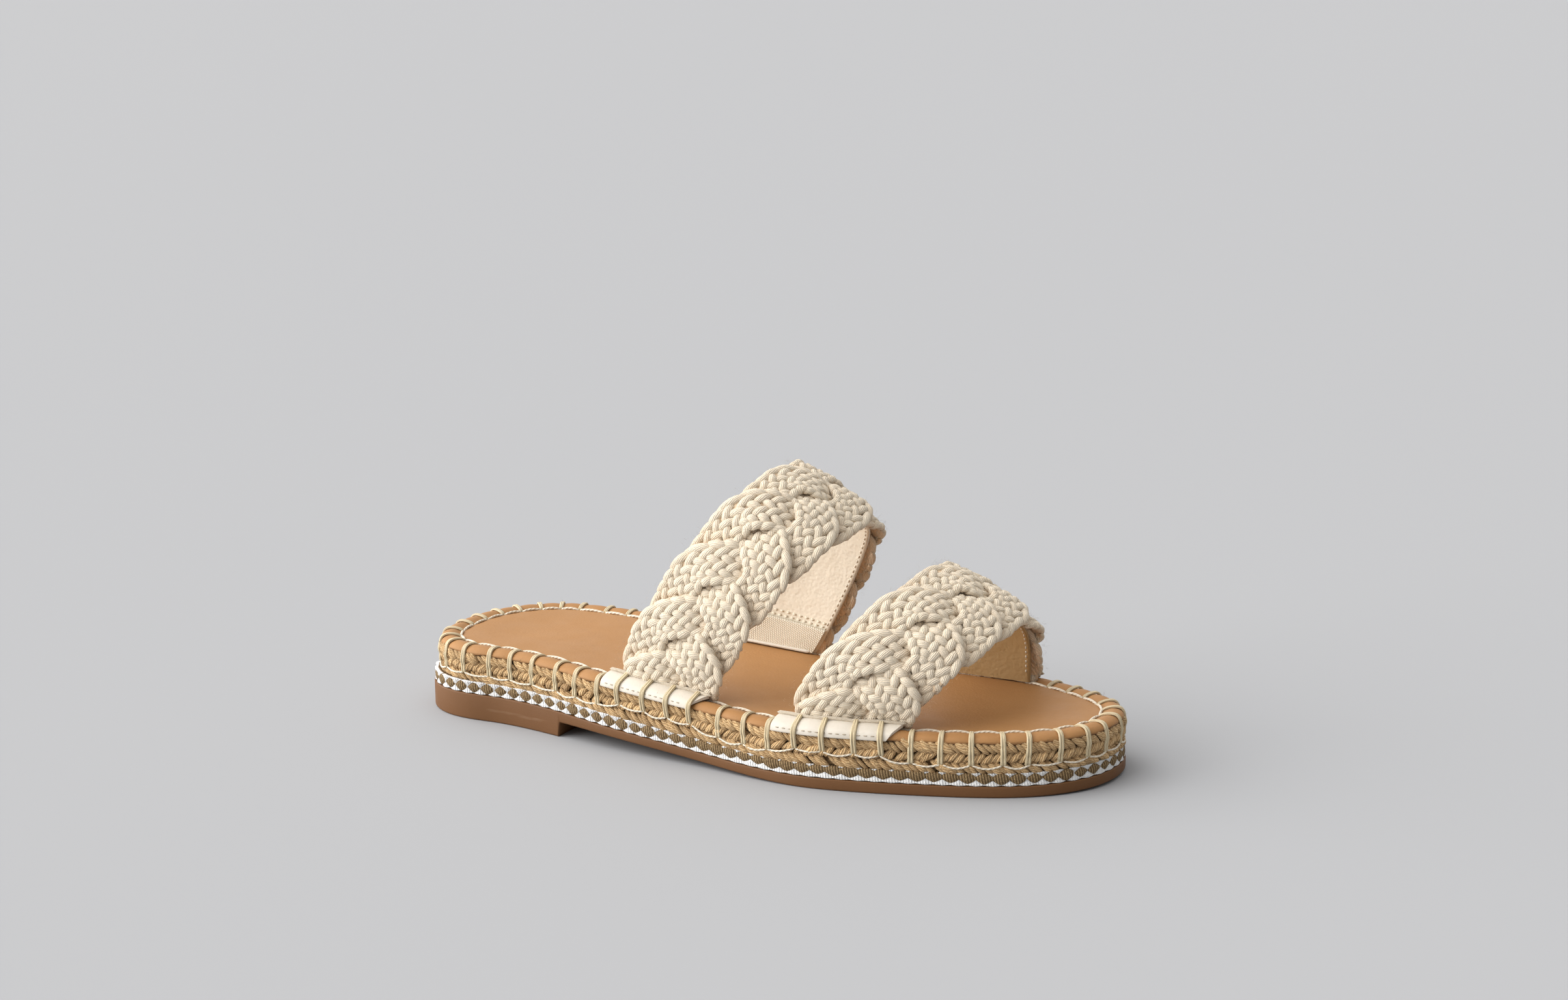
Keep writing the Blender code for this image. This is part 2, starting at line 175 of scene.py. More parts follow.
# Blanket stitch: a double bar at each hole, a chain along the crease, a thread along the bar ends
STITCH_COUNT = 60
STITCH_START = 3.0
STITCH_JITTER = 0.9
STITCH_SAMPLES = 13
BAR_PATH = [EdgeRow(*row) for row in (
    (8.2, 15.35), (7.2, 16.1), (5.6, 16.6), (3.6, 16.75), (1.9, 16.3), (1.0, 15.2),
    (0.5, 13.2), (0.2, 11.4), (0.6, 9.6), (0.5, 8.2), (0.7, 7.3), (1.4, 6.8),
)]
TAB_BAR_PATH = [EdgeRow(*row) for row in (
    (6.9, 17.6), (6.2, 18.8), (4.4, 18.5), (2.2, 17.6), (0.3, 16.5),
    (-0.4, 14.9), (-0.3, 13.2), (0.1, 11.2), (0.6, 9.6), (1.4, 8.8),
)]
BAR_SIZE = (0.52, 0.45)
BAR_SPACING = 0.5
BAR_SPREAD = (0.6, 1.1)
BAR_SWAY = 0.5
BAR_SAMPLES = 26
CHAIN_INSET = 8.15
CHAIN_BOW = 0.25
CHAIN_HEIGHT = 15.25
CHAIN_RISE = 0.8
CHAIN_RADIUS = 0.46
SAG_START = 0.35
SAG_DROP = 0.9
SAG_DROP_SHARES = (0.5, 1.25)
SAG_RADIUS = 0.34
SAG_INSET = 0.45
SAG_SWING = 0.2

# Tabs: the places of the part's source, with a thinner sheet
TabRow = namedtuple("TabRow", "name side heel_x toe_x inner_inset")
TABS = [
    TabRow("tab_rear_lateral", -1, 84.0, 124.0, 6.6),
    TabRow("tab_rear_medial", 1, 91.0, 133.0, 4.6),
    TabRow("tab_front_lateral", -1, 152.5, 196.0, 6.6),
    TabRow("tab_front_medial", 1, 171.5, 213.0, 4.6),
]
TAB_EDGE = [EdgeRow(*row) for row in ((4.2, 17.1), (2.4, 16.4), (1.2, 15.6), (0.9, 14.9), (0.8, 14.2))]
TAB_TOP_HEIGHT = 17.4
TAB_THICKNESS = 1.1
TAB_COLUMNS = 80
TAB_ROWS = 22
TAB_PROFILE_SAMPLES = 60
TAB_PINCH = 0.55
TAB_PINCH_START = 0.15
TAB_CUT = 5.0
TAB_CUT_POWER = 1.5
TAB_STITCH_START = 2.0
TAB_STITCH_DOWN = 0.85
TAB_BAR_MARGIN = 1.0
TAB_CORD_SAMPLES = 40
TAB_CORD_RADIUS = 0.65
TAB_CORD_ENDS = (-0.02, 1.03)
TAB_CORD_SHIFT = 0.5
TAB_CORD_RISE = 0.3
TAB_CORD_WANDER = (0.0, 0.09, 0.15)
TAB_CORD_WAVES = 17.0

# Straps, as in the part's source
EdgeArch = namedtuple("EdgeArch", "lateral_x apex_x apex_y apex_z medial_x")
StrapRow = namedtuple("StrapRow", "name heel_edge toe_edge fullness lateral_lean medial_lean")
STRAPS = [
    StrapRow("strap_rear", EdgeArch(86.0, 128.2, 9.4, 91.4, 92.0),
             EdgeArch(127.0, 158.9, -0.3, 72.9, 132.0), 3.4, 1.28, 0.9),
    StrapRow("strap_front", EdgeArch(154.0, 183.4, 10.9, 61.1, 172.3),
             EdgeArch(196.0, 214.1, 3.8, 44.3, 212.6), 2.9, 1.4, 1.0),
]
STRAP_LATERAL_INSET = 9.0
STRAP_MEDIAL_INSET = 7.5
STRAP_FOOT_GAP = 0.5
STRAP_CROWN = 1.5
STRAP_SWELL = 2.4
STRAP_SWELL_PLACE = 0.58
STRAP_SWELL_SPREAD = 0.18
STRAP_BACKING = 2.75
STRAP_BASE_BACKING = 1.5
STRAP_BASE_LENGTH = 12.0
STRAP_STATIONS = 601
ARCH_STATIONS = 2001

# Plait of three bands, each band a flat braid whose cords show as columns of plump loops
PLAIT_BANDS = 3
PLAIT_PERIOD = 66.0
PLAIT_START = 8.0
PLAIT_SWING_SHARE = 0.365
PLAIT_FLATNESS = 0.14
PLAIT_LIFT = 0.7
PLAIT_WEAVE = 1.8
PLAIT_STEEPNESS = 2.4
PLAIT_FOOT_LENGTH = 2.5
PLAIT_FLOOR = -0.6
PLAIT_SHADE = 0.25
PLAIT_EDGE_CALM = 0.65
LOOP_COLUMNS = 6
LOOP_SPACING = 2.45
LOOP_PITCH = 4.3
LOOP_ANGLE = 34.0
LOOP_EDGE_ANGLE = 13.0
LOOP_HALF_LENGTH = 3.6
LOOP_HALF_WIDTH = 1.6
LOOP_HALF_HEIGHT = 1.15
LOOP_RISE = 0.9
LOOP_DIP = 1.5
LOOP_SAMPLES = 9
LOOP_END_SIZE = 0.5
# Loop ends, where loops dip under their neighbours, are darkened by painted shade.
LOOP_END_SHADE = 0.5
LoopSpread = namedtuple("LoopSpread", "angle length place tint")
LOOP_SPREAD = LoopSpread(angle=0.06, length=0.05, place=0.12, tint=0.04)
BAND_STATIONS = 801
BAND_SIZE = (6.6, 0.6)
BAND_CORE_DROP = 0.35
BAND_CORE_SAMPLES = 220
BAND_CORE_SIDES = 12
# The band core's low tint is painted shade for the gaps between the loops.
BAND_CORE_SHADE = 0.3
FUZZ_PER_STRAP = 4500
FUZZ_FOOT_GAP = 4.0
FUZZ_REACH = 0.56
FUZZ_HEIGHTS = (1.0, 3.2)
FUZZ_LEAN = 0.6
FUZZ_STAND = (0.2, 0.7)
FUZZ_CURL = 0.5
FUZZ_RADIUS = 0.016

# Inside of the straps
LINING_THICKNESS = 0.9
LINING_EDGE = 2.6
BACKING_EDGE = 4.5
BACKING_DEPTH = 0.25
LINING_COLUMNS = 150
LINING_ROWS = 30
HEM_INSET = 4.0
HEM_FOOT_GAP = 6.0
GORE_HEIGHT = 12.0
GORE_MARGIN = 0.09
GORE_THICKNESS = 1.1
GORE_ROWS = 16
GORE_COLUMNS = 40
GORE_THREADS = (80.0, 36.0)
GORE_SEAM_ROWS = 2
GORE_SEAM_GAP = 1.0
GORE_SEAM_SPACING = 1.7
GORE_PIPING_SAMPLES = 30
GORE_PIPING_RADIUS = 0.6
GAP = 0.3

# Running stitches
Stitch = namedtuple("Stitch", "pitch length samples half_width half_height bow")
TAB_STITCH = Stitch(2.5, 1.5, 6, 0.18, 0.16, 0.0)
HEM_STITCH = Stitch(2.4, 1.6, 5, 0.3, 0.22, 0.1)
GORE_STITCH = Stitch(2.4, 1.6, 5, 0.4, 0.3, 0.25)

# Camera of the photograph, in the last's frame
PHOTO_WIDTH = 2408.0
FOCAL_PIXELS = 4266.73
SENSOR = 36.0
CAMERA_AZIMUTH = 27.64
CAMERA_ELEVATION = 13.08
CAMERA_ROLL = -0.29
CAMERA_DISTANCE = 900.0
CAMERA_TARGET = (152.77, -39.02, 93.28)
CAMERA_CLIP_START = 0.02

# Light: soft suns, with the direction towards each, and the surroundings
Sun = namedtuple("Sun", "name direction strength spread")
SUNS = [
    Sun("key", (-0.70, -0.36, 0.62), 2.7, 85.0),
    Sun("side", (-0.85, -0.50, 0.18), 2.6, 60.0),
]
SUN_COLOUR = (1.0, 0.985, 0.965)
SURROUND_COLOUR = (1.0, 0.99, 0.975)
SURROUND_BRIGHT_SIDE = (-0.6, 0.33, 0.73)
SURROUND_BRIGHT = 1.05
SURROUND_DIM = 0.0
FLOOR_HALF = 9.0
FLOOR_COLOUR = (0.395, 0.40, 0.415)


def smooth(x, start, end):
    t = np.clip((np.asarray(x, float) - start) / (end - start), 0.0, 1.0)
    return t * t * (3.0 - 2.0 * t)


def shares(count):
    """A row of so many shares from 0 to 1."""
    return np.linspace(0.0, 1.0, count)[None, :]


def rising(low, share):
    """A size that rises from low to 1 as the share goes from 0 to 1."""
    return low + (1.0 - low) * share


def unit(vectors):
    return vectors / np.maximum(np.linalg.norm(vectors, axis=-1, keepdims=True), 1e-9)


def interpolated(x, places, table):
    """Rows of a table at x, between its rows at the places."""
    return np.stack([np.interp(x, places, column) for column in table.T], axis=-1)


def run_lengths(points):
    """Length along a line of points, from 0 at the first."""
    return np.append(0.0, np.cumsum(np.linalg.norm(np.diff(points, axis=0), axis=1)))


def natural_spline(places, values):
    """A smooth curve through the values, free of curvature at both ends."""
    xs = np.array(places, float)
    ys = np.array(values, float)
    steps = np.diff(xs)
    count = len(xs)
    matrix = np.eye(count)
    right = np.zeros(count)
    for i in range(1, count - 1):
        matrix[i, i - 1:i + 2] = [steps[i - 1], 2.0 * (steps[i - 1] + steps[i]), steps[i]]
        right[i] = 6.0 * ((ys[i + 1] - ys[i]) / steps[i] - (ys[i] - ys[i - 1]) / steps[i - 1])
    bend = np.linalg.solve(matrix, right)

    def curve(x):
        x = np.asarray(x, float)
        i = np.clip(np.searchsorted(xs, x) - 1, 0, count - 2)
        h = steps[i]
        a = (xs[i + 1] - x) / h
        b = (x - xs[i]) / h
        pull = ((a ** 3 - a) * bend[i] + (b ** 3 - b) * bend[i + 1]) * h * h / 6.0
        return a * ys[i] + b * ys[i + 1] + pull

    return curve


plan_centre = natural_spline([row.x for row in PLAN], [row.centre for row in PLAN])
plan_half = natural_spline([row.x for row in PLAN], [row.half_width for row in PLAN])


def cap_round(share, power):
    """1 where the share is 0 or less, rounding off to 0 where it is 1."""
    return (1.0 - np.clip(share, 0.0, 1.0) ** power) ** (1.0 / power)


def plan_width(x):
    """Half width of the sole at x, with the rounded heel and toe."""
    heel = cap_round(1.0 - x / HEEL_CAP_LENGTH, HEEL_CAP_POWER)
    toe = cap_round((x - LENGTH) / TOE_CAP_LENGTH + 1.0, TOE_CAP_POWER)
    return plan_half(x) * heel * toe


def stations(count):
    """Places along the sole, closer together at heel and toe."""
    return LENGTH * (1.0 - np.cos(np.linspace(0.0, math.pi, count))) / 2.0


def plan_loop(xs):
    """The outline from the heel along the lateral side to the toe and back, and its inward directions."""
    lateral = np.column_stack([xs, plan_centre(xs) - plan_width(xs)])
    medial = np.column_stack([xs, plan_centre(xs) + plan_width(xs)])[-2:0:-1]
    loop = np.vstack([lateral, medial])
    tangent = unit(np.roll(loop, -1, axis=0) - np.roll(loop, 1, axis=0))
    return loop, np.column_stack([-tangent[:, 1], tangent[:, 0]])


def heel_flare(x):
    """How far the back of the heel stands out beyond the plan."""
    return HEEL_FLARE * (1.0 - smooth(x, 0.0, HEEL_FLARE_LENGTH))


def outline(xs, inset):
    """The flared outline moved in by inset."""
    loop, inward = plan_loop(xs)
    return loop + inward * (inset - heel_flare(loop[:, 0]))[:, None]


def toe_spring(x):
    return TOE_SPRING * np.clip((x - TOE_SPRING_START) / (LENGTH - TOE_SPRING_START), 0.0, None) ** 2


def rubber_top(x):
    fall = smooth(x, *RUBBER_FALL)
    return HEEL_RUBBER + (FOREFOOT_RUBBER - HEEL_RUBBER) * fall + toe_spring(x)


def rubber_bottom(x):
    """Flat heel and forefoot, the arched waist between them, and the rounded heel breast."""
    rise = WAIST_RISE * (1.0 - smooth(x, HEEL_BREAST, BALL_CONTACT))
    return rise * smooth(x, HEEL_BREAST - HEEL_BREAST_ROUND, HEEL_BREAST) + toe_spring(x)


sole_outline = outline(stations(PLAN_STATIONS), 0.0)
MIDDLE = np.append((sole_outline.min(axis=0) + sole_outline.max(axis=0)) / 2.0, 0.0)


class SoleEdge:
    """The sole's outline by length: 0 at the heel, along the lateral side to the toe, then back."""

    def __init__(self):
        loop, inward = plan_loop(stations(EDGE_STATIONS))
        self.loop = np.vstack([loop, loop[:1]])
        self.inward = np.vstack([inward, inward[:1]])
        self.lengths = run_lengths(self.loop)
        self.total = self.lengths[-1]

    def base(self, length):
        """Points of the outline and inward directions there."""
        length = np.mod(length, self.total)
        inward = unit(interpolated(length, self.lengths, self.inward))
        return interpolated(length, self.lengths, self.loop), inward

    def points(self, length, inset, height, flared=False):
        """Points at a length along the outline, an inset from it and a height above the rubber's top."""
        length, inset, height = np.broadcast_arrays(length, inset, height)
        base, inward = self.base(length)
        depth = inset - heel_flare(base[..., 0]) if flared else inset
        flat = base + inward * depth[..., None]
        return np.concatenate([flat, (rubber_top(flat[..., 0]) + height)[..., None]], axis=-1)

    def outward(self, length):
        """Level directions that point away from the sole."""
        inward = self.base(length)[1]
        return np.concatenate([-inward, np.zeros_like(inward[..., :1])], axis=-1)

    def length_at(self, x, side):
        """The length along the outline at which one side reaches x."""
        half = EDGE_STATIONS
        if side < 0:
            return float(np.interp(x, self.loop[:half, 0], self.lengths[:half]))
        return float(np.interp(x, self.loop[half - 1:, 0][::-1], self.lengths[half - 1:][::-1]))


def side_y(x, side, inset):
    """The y of the outline at x on one side, moved in square to the outline."""
    step = 0.5
    edges = [float(plan_centre(p) + side * plan_width(p)) for p in (x - step, x, x + step)]
    slope = (edges[2] - edges[0]) / (2.0 * step)
    return edges[1] - side * inset * math.sqrt(1.0 + slope * slope)


def arch_edge(arch, strap, places):
    """Points of one strap edge; places are 0 at the lateral base, 1 at the apex and 2 at the medial base."""
    lateral = places <= 1.0
    turn = np.where(lateral, places, 2.0 - places) * math.pi / 2.0
    out = np.cos(turn) ** (2.0 / strap.fullness)
    up = np.sin(turn) ** (2.0 / strap.fullness)
    base_x = np.where(lateral, arch.lateral_x, arch.medial_x)
    base_y = np.where(lateral, side_y(arch.lateral_x, -1, STRAP_LATERAL_INSET),
                      side_y(arch.medial_x, 1, STRAP_MEDIAL_INSET))
    base_z = rubber_top(base_x) + FOOTBED_TOP + STRAP_FOOT_GAP
    lean = np.where(lateral, up ** strap.lateral_lean, up ** strap.medial_lean)
    return np.column_stack([
        base_x + (arch.apex_x - base_x) * lean,
        arch.apex_y + (base_y - arch.apex_y) * out,
        base_z + (arch.apex_z - base_z) * up,
    ])


class StrapForm:
    """A strap's middle surface by length from its lateral foot, offset across it and height above it."""

    def __init__(self, strap):
        places = np.linspace(0.0, 2.0, ARCH_STATIONS)
        heel = arch_edge(strap.heel_edge, strap, places)
        toe = arch_edge(strap.toe_edge, strap, places)
        lengths = run_lengths((heel + toe) / 2.0)
        self.total = lengths[-1]
        self.lengths = np.linspace(0.0, self.total, STRAP_STATIONS)
        points = interpolated(self.lengths, lengths, np.hstack([heel, toe]))
        self.table = np.hstack([points, np.gradient(points, axis=0)])

    def edges(self, length):
        """Points of the heel edge and the toe edge, and the runs along both."""
        return np.split(interpolated(length, self.lengths, self.table), 4, axis=-1)

    def width(self, length):
        heel, toe = self.edges(length)[:2]
        return np.linalg.norm(toe - heel, axis=-1)

    def place(self, length, offset, height):
        """Points and outward directions; offset is measured from the middle line towards the toe."""
        length, offset, height = np.broadcast_arrays(length, offset, height)
        heel, toe, heel_run, toe_run = self.edges(length)
        share = offset / np.linalg.norm(toe - heel, axis=-1) + 0.5
        crown = 4.0 * STRAP_CROWN * share * (1.0 - share) * self.foot_taper(length, STRAP_BASE_LENGTH)
        puffed = crown + self.swell(length) * share + height
        share = share[..., None]
        outward = unit(np.cross(toe - heel, heel_run * (1.0 - share) + toe_run * share))
        return heel * (1.0 - share) + toe * share + outward * puffed[..., None], outward

    def swell(self, length):
        """How much further the strap's toe edge puffs out over the instep."""
        return STRAP_SWELL * np.exp(-((length / self.total - STRAP_SWELL_PLACE) / STRAP_SWELL_SPREAD) ** 2)

    def foot_taper(self, length, reach):
        """0 at either foot, rising to 1 within reach."""
        return smooth(np.minimum(length, self.total - length), 0.0, reach)

    def backing(self, length):
        """How far the strap's inner face lies behind the middle surface."""
        full = self.foot_taper(length, STRAP_BASE_LENGTH)
        return STRAP_BASE_BACKING + (STRAP_BACKING - STRAP_BASE_BACKING) * full


Parts = namedtuple("Parts", "points faces uv tint")


def joined(parts):
    """Several sets of points, faces, uv and tint as one."""
    points, faces, uv, tint = zip(*parts)
    starts = np.cumsum([0] + [len(part) for part in points[:-1]])
    faces = [part + start for part, start in zip(faces, starts)]
    return Parts(np.vstack(points), np.vstack(faces), np.vstack(uv), np.concatenate(tint))


def quad_corners(rows, columns):
    """Row and column numbers of the four corners of every quad."""
    i, j = (axis.ravel() for axis in np.meshgrid(np.arange(rows), np.arange(columns), indexing="ij"))
    return [(i, j), (i, j + 1), (i + 1, j + 1), (i + 1, j)]


def grid_parts(grid, closed_rows=False, closed_columns=False, tint=1.0, uv_size=(1.0, 1.0)):
    """Quads over a grid of points; a closed direction joins its last line to its first."""
    rows, columns = grid.shape[:2]
    corners = quad_corners(rows if closed_rows else rows - 1, columns if closed_columns else columns - 1)
    faces = np.stack([(a % rows) * columns + b % columns for a, b in corners], axis=1)
    scale = np.array(uv_size) / np.array([columns, rows])
    uv = np.stack([np.stack([b, a], axis=1) * scale for a, b in corners], axis=1)
    tints = np.broadcast_to(np.asarray(tint, float), (rows, columns)).ravel()
    return Parts(grid.reshape(-1, 3), faces, uv, tints)


def slab_parts(front, back, uv_size=(1.0, 1.0)):
    """A closed slab between two grids of points of the same size."""
    ends = [grid_parts(np.stack([front[:, i], back[:, i]], axis=1)) for i in (0, -1)]
    return joined([grid_parts(np.vstack([front, back[::-1]]), closed_rows=True, uv_size=uv_size)] + ends)


def tube_parts(paths, ups, half_width, half_height, sides, tint=1.0):
    """Flattened tubes along many paths of the same point count; uv is length in mm and turn from 0 to 1.

    Their ends close to a point. Sizes and tint are one number, or one for each tube or each point.
    """
    paths = np.asarray(paths, float)
    count, samples = paths.shape[:2]
    tangent = unit(np.gradient(paths, axis=1))
    ups = np.broadcast_to(ups, paths.shape)
    normal = unit(ups - tangent * np.sum(ups * tangent, axis=-1, keepdims=True))
    side = np.cross(normal, tangent)
    ends = np.ones(samples)
    ends[[0, -1]] = TUBE_END_SIZE
    wide = np.broadcast_to(half_width, (count, samples)) * ends
    high = np.broadcast_to(half_height, (count, samples)) * ends
    angle = np.arange(sides) * 2.0 * math.pi / sides
    ring = side[:, :, None] * (wide[..., None] * np.cos(angle))[..., None]
    ring = ring + normal[:, :, None] * (high[..., None] * np.sin(angle))[..., None]
    points = (paths[:, :, None] + ring).reshape(-1, 3)
    corners = quad_corners(samples - 1, sides)
    first = np.arange(count)[:, None] * samples
    faces = np.stack([((first + a) * sides + b % sides).ravel() for a, b in corners], axis=1)
    steps = np.linalg.norm(np.diff(paths, axis=1), axis=2)
    lengths = np.concatenate([np.zeros((count, 1)), np.cumsum(steps, axis=1)], axis=1)
    uv = [np.column_stack([lengths[:, a].ravel(), np.tile(b / sides, count)]) for a, b in corners]
    tint = np.asarray(tint, float)
    if tint.ndim == 1:
        tint = tint[:, None]
    tints = np.repeat(np.broadcast_to(tint, (count, samples)).ravel(), sides)
    return Parts(points, faces, np.stack(uv, axis=1), tints)


def add_piece(name, parts, material, slot, *replaced):
    """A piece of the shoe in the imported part's frame, in place of the nodes it replaces."""
    mesh = bpy.data.meshes.new(name)
    mesh.from_pydata(((parts.points - MIDDLE) * MM).tolist(), [], parts.faces.tolist())
    mesh.uv_layers.new(name="UVMap").data.foreach_set("uv", parts.uv.astype(np.float32).ravel())
    mesh.attributes.new("tint", "FLOAT", "POINT").data.foreach_set("value", parts.tint.astype(np.float32))
    mesh.shade_smooth()
    mesh.materials.append(material)
    piece = bpy.data.objects.new(name, mesh)
    bpy.context.scene.collection.objects.link(piece)
    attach(piece, "root")
    if replaced:
        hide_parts(*replaced)
    return piece


def add_cord(name, paths, ups, radius, material, slot="cotton"):
    """Round cords along paths, as a piece that replaces no node."""
    add_piece(name, tube_parts(paths, ups, radius, radius, CORD_SIDES), material, slot)


def stitch_row(stitch, start, end):
    """Places along a row of running stitches, and how far each stitch bows out there."""
    t = shares(stitch.samples)
    return np.arange(start, end, stitch.pitch)[:, None] + stitch.length * t, stitch.bow * np.sin(math.pi * t)


def add_stitches(name, paths, ups, stitch, material):
    parts = tube_parts(paths, ups, stitch.half_width, stitch.half_height, STITCH_SIDES)
    add_piece(name, parts, material, "cotton")


class Nodes:
    """A node tree and the ways to add to it; colours are given without alpha."""

    def __init__(self, tree):
        self.tree = tree

    def node(self, kind, inputs, **settings):
        """A new node with its settings and its inputs, each a value or another node's output."""
        node = self.tree.nodes.new(kind)
        for name, value in settings.items():
            setattr(node, name, value)
        for name, value in inputs.items():
            self.feed(node.inputs[name], value)
        return node

    def feed(self, socket, value):
        if isinstance(value, bpy.types.NodeSocket):
            self.tree.links.new(value, socket)
        elif socket.type == "RGBA":
            socket.default_value = (*value, 1.0)
        else:
            socket.default_value = value

    def ranged(self, value, low, high, to_low=0.0, to_high=1.0):
        inputs = {"Value": value, "From Min": low, "From Max": high, "To Min": to_low, "To Max": to_high}
        return self.node("ShaderNodeMapRange", inputs).outputs[0]


class Surface(Nodes):
    """A material's nodes around its Principled shader."""

    def __init__(self, name, roughness, specular):
        self.material = bpy.data.materials.new(name)
        self.material.use_nodes = True
        super().__init__(self.material.node_tree)
        self.shader = self.tree.nodes["Principled BSDF"]
        self.shader.inputs["Roughness"].default_value = roughness
        self.shader.inputs["Specular IOR Level"].default_value = specular

    def math(self, operation, a, b=0.0):
        return self.node("ShaderNodeMath", {0: a, 1: b}, operation=operation).outputs[0]

    def place(self, stretch=(1.0, 1.0, 1.0)):
        """The place on the shoe in metres, stretched along its axes."""
        where = self.node("ShaderNodeTexCoord", {}).outputs["Object"]
        return self.node("ShaderNodeMapping", {"Vector": where, "Scale": stretch}).outputs[0]

    def noise(self, size, detail=2.0, stretch=(1.0, 1.0, 1.0)):
        """Noise from about 0 to 1 with features of a size in mm."""
        inputs = {"Vector": self.place(stretch), "Scale": 1.0 / (size * MM), "Detail": detail}
        return self.node("ShaderNodeTexNoise", inputs).outputs["Fac"]

    def pebbles(self, size):
        inputs = {"Vector": self.place(), "Scale": 1.0 / (size * MM)}
        return self.node("ShaderNodeTexVoronoi", inputs, feature="SMOOTH_F1").outputs["Distance"]

    def tint(self):
        return self.node("ShaderNodeAttribute", {}, attribute_name="tint").outputs["Fac"]

    def uv(self):
        parts = self.node("ShaderNodeSeparateXYZ", {0: self.node("ShaderNodeUVMap", {}).outputs[0]})
        return parts.outputs[0], parts.outputs[1]

    def wave(self, phase):
        """A sine from 0 to 1 of a phase in whole turns."""
        swing = self.math("SINE", self.math("MULTIPLY", phase, 2.0 * math.pi))
        return self.math("MULTIPLY_ADD", swing, 0.5)

    def ply(self, plies, turn_length, wander=0.0):
        """Ridges of yarn that twist round a tube once in turn_length mm, and wander by so many ridges."""
        length, turn = self.uv()
        twist = self.math("ADD", turn, self.math("MULTIPLY", length, 1.0 / turn_length))
        stray = self.math("MULTIPLY", self.noise(1.5, 2.0), wander)
        return self.wave(self.math("ADD", self.math("MULTIPLY", twist, float(plies)), stray))

    def mixed(self, share, first, second):
        """A mix of two colours; the numbers are the mix node's sockets for colours."""
        return self.node("ShaderNodeMix", {0: share, 6: first, 7: second}, data_type="RGBA").outputs[2]

    def roughness(self, value):
        self.feed(self.shader.inputs["Roughness"], value)

    def sheen(self, weight, tint):
        for name, value in (("Sheen Weight", weight), ("Sheen Roughness", 0.5), ("Sheen Tint", tint)):
            self.feed(self.shader.inputs[name], value)

    def finished(self, colour, *layers):
        """The material with its colour, and with bump from layers of (height output, depth in mm)."""
        self.feed(self.shader.inputs["Base Color"], colour)
        socket = self.shader.inputs["Normal"]
        for height, depth in reversed(layers):
            bump = self.node("ShaderNodeBump", {"Height": height, "Distance": depth * MM, "Strength": 1.0})
            self.feed(socket, bump.outputs[0])
            socket = bump.inputs["Normal"]
        return self.material


def rubber_surface():
    """Matte tan rubber with faint mottling and pale scuffs, and a fine tread underneath."""
    s = Surface("tan_rubber", 0.6, 0.25)
    brown = s.mixed(s.noise(22.0, 3.0), (0.150, 0.067, 0.025), (0.182, 0.084, 0.032))
    scuffs = s.ranged(s.noise(3.0, 4.0, (0.12, 0.3, 1.0)), 0.66, 0.78, 0.0, 0.45)
    colour = s.mixed(scuffs, brown, (0.28, 0.17, 0.10))
    s.roughness(s.ranged(s.noise(6.0, 3.0), 0.3, 0.7, 0.48, 0.64))
    normal = s.node("ShaderNodeNewGeometry", {}).outputs["Normal"]
    below = s.ranged(s.node("ShaderNodeSeparateXYZ", {0: normal}).outputs[2], -0.6, -0.9)
    where = s.node("ShaderNodeSeparateXYZ", {0: s.place()})
    zigzag = s.math("PINGPONG", where.outputs[1], 4.0 * MM)
    tread = s.wave(s.math("MULTIPLY", s.math("ADD", where.outputs[0], zigzag), 1.0 / (3.5 * MM)))
    return s.finished(colour, (s.noise(0.35, 2.0), 0.03), (s.math("MULTIPLY", tread, below), 0.5))


def trim_surface():
    """Yarn of the trim: tint 0 is the brown knot, 1 the white picot."""
    s = Surface("woven_trim", 0.8, 0.25)
    along, up = s.uv()
    stripes = s.wave(s.math("ADD", s.math("MULTIPLY", along, 6.0), s.math("MULTIPLY", up, 1.0)))
    cross = s.noise(0.45, 3.0)
    # Painted glints: gold specks lighter than the yarn stand for glints of light.
    painted_glint = s.ranged(s.noise(0.5, 1.0), 0.66, 0.74, 0.0, 0.6)
    knit = s.math("MULTIPLY", stripes, s.ranged(cross, 0.2, 0.6))
    yarn = s.mixed(knit, (0.11, 0.066, 0.028), (0.40, 0.274, 0.140))
    brown = s.mixed(painted_glint, yarn, (0.62, 0.46, 0.22))
    white = s.mixed(cross, (0.74, 0.74, 0.74), (0.90, 0.90, 0.89))
    edge = s.ranged(s.tint(), 0.4, 0.6)
    colour = s.mixed(edge, brown, white)
    return s.finished(colour, (stripes, 0.2), (cross, 0.35))


def jute_surface():
    """Dry golden fibres that run along each strand, darker where the tint is low: painted shade at the strand
    ends and on the core, besides each strand's own tone.
    """
    s = Surface("jute", 0.85, 0.2)
    fibres = s.ply(8, 14.0, 1.5)
    streak = s.noise(0.7, 3.0)
    golden = s.mixed(streak, (0.56, 0.340, 0.145), (0.92, 0.665, 0.370))
    shaded = s.mixed(s.math("MULTIPLY", fibres, 0.5), golden, (0.90, 0.645, 0.350))
    lined = s.mixed(s.ranged(fibres, 0.0, 0.35), (0.44, 0.245, 0.105), shaded)
    # Painted shade: the dark brown stands for the shade at strand ends and on the core.
    colour = s.mixed(s.ranged(s.tint(), 0.0, 1.1), (0.170, 0.085, 0.033), lined)
    s.sheen(0.15, (1.0, 0.85, 0.6))
    return s.finished(colour, (fibres, 0.22), (s.noise(0.4, 3.0), 0.12))


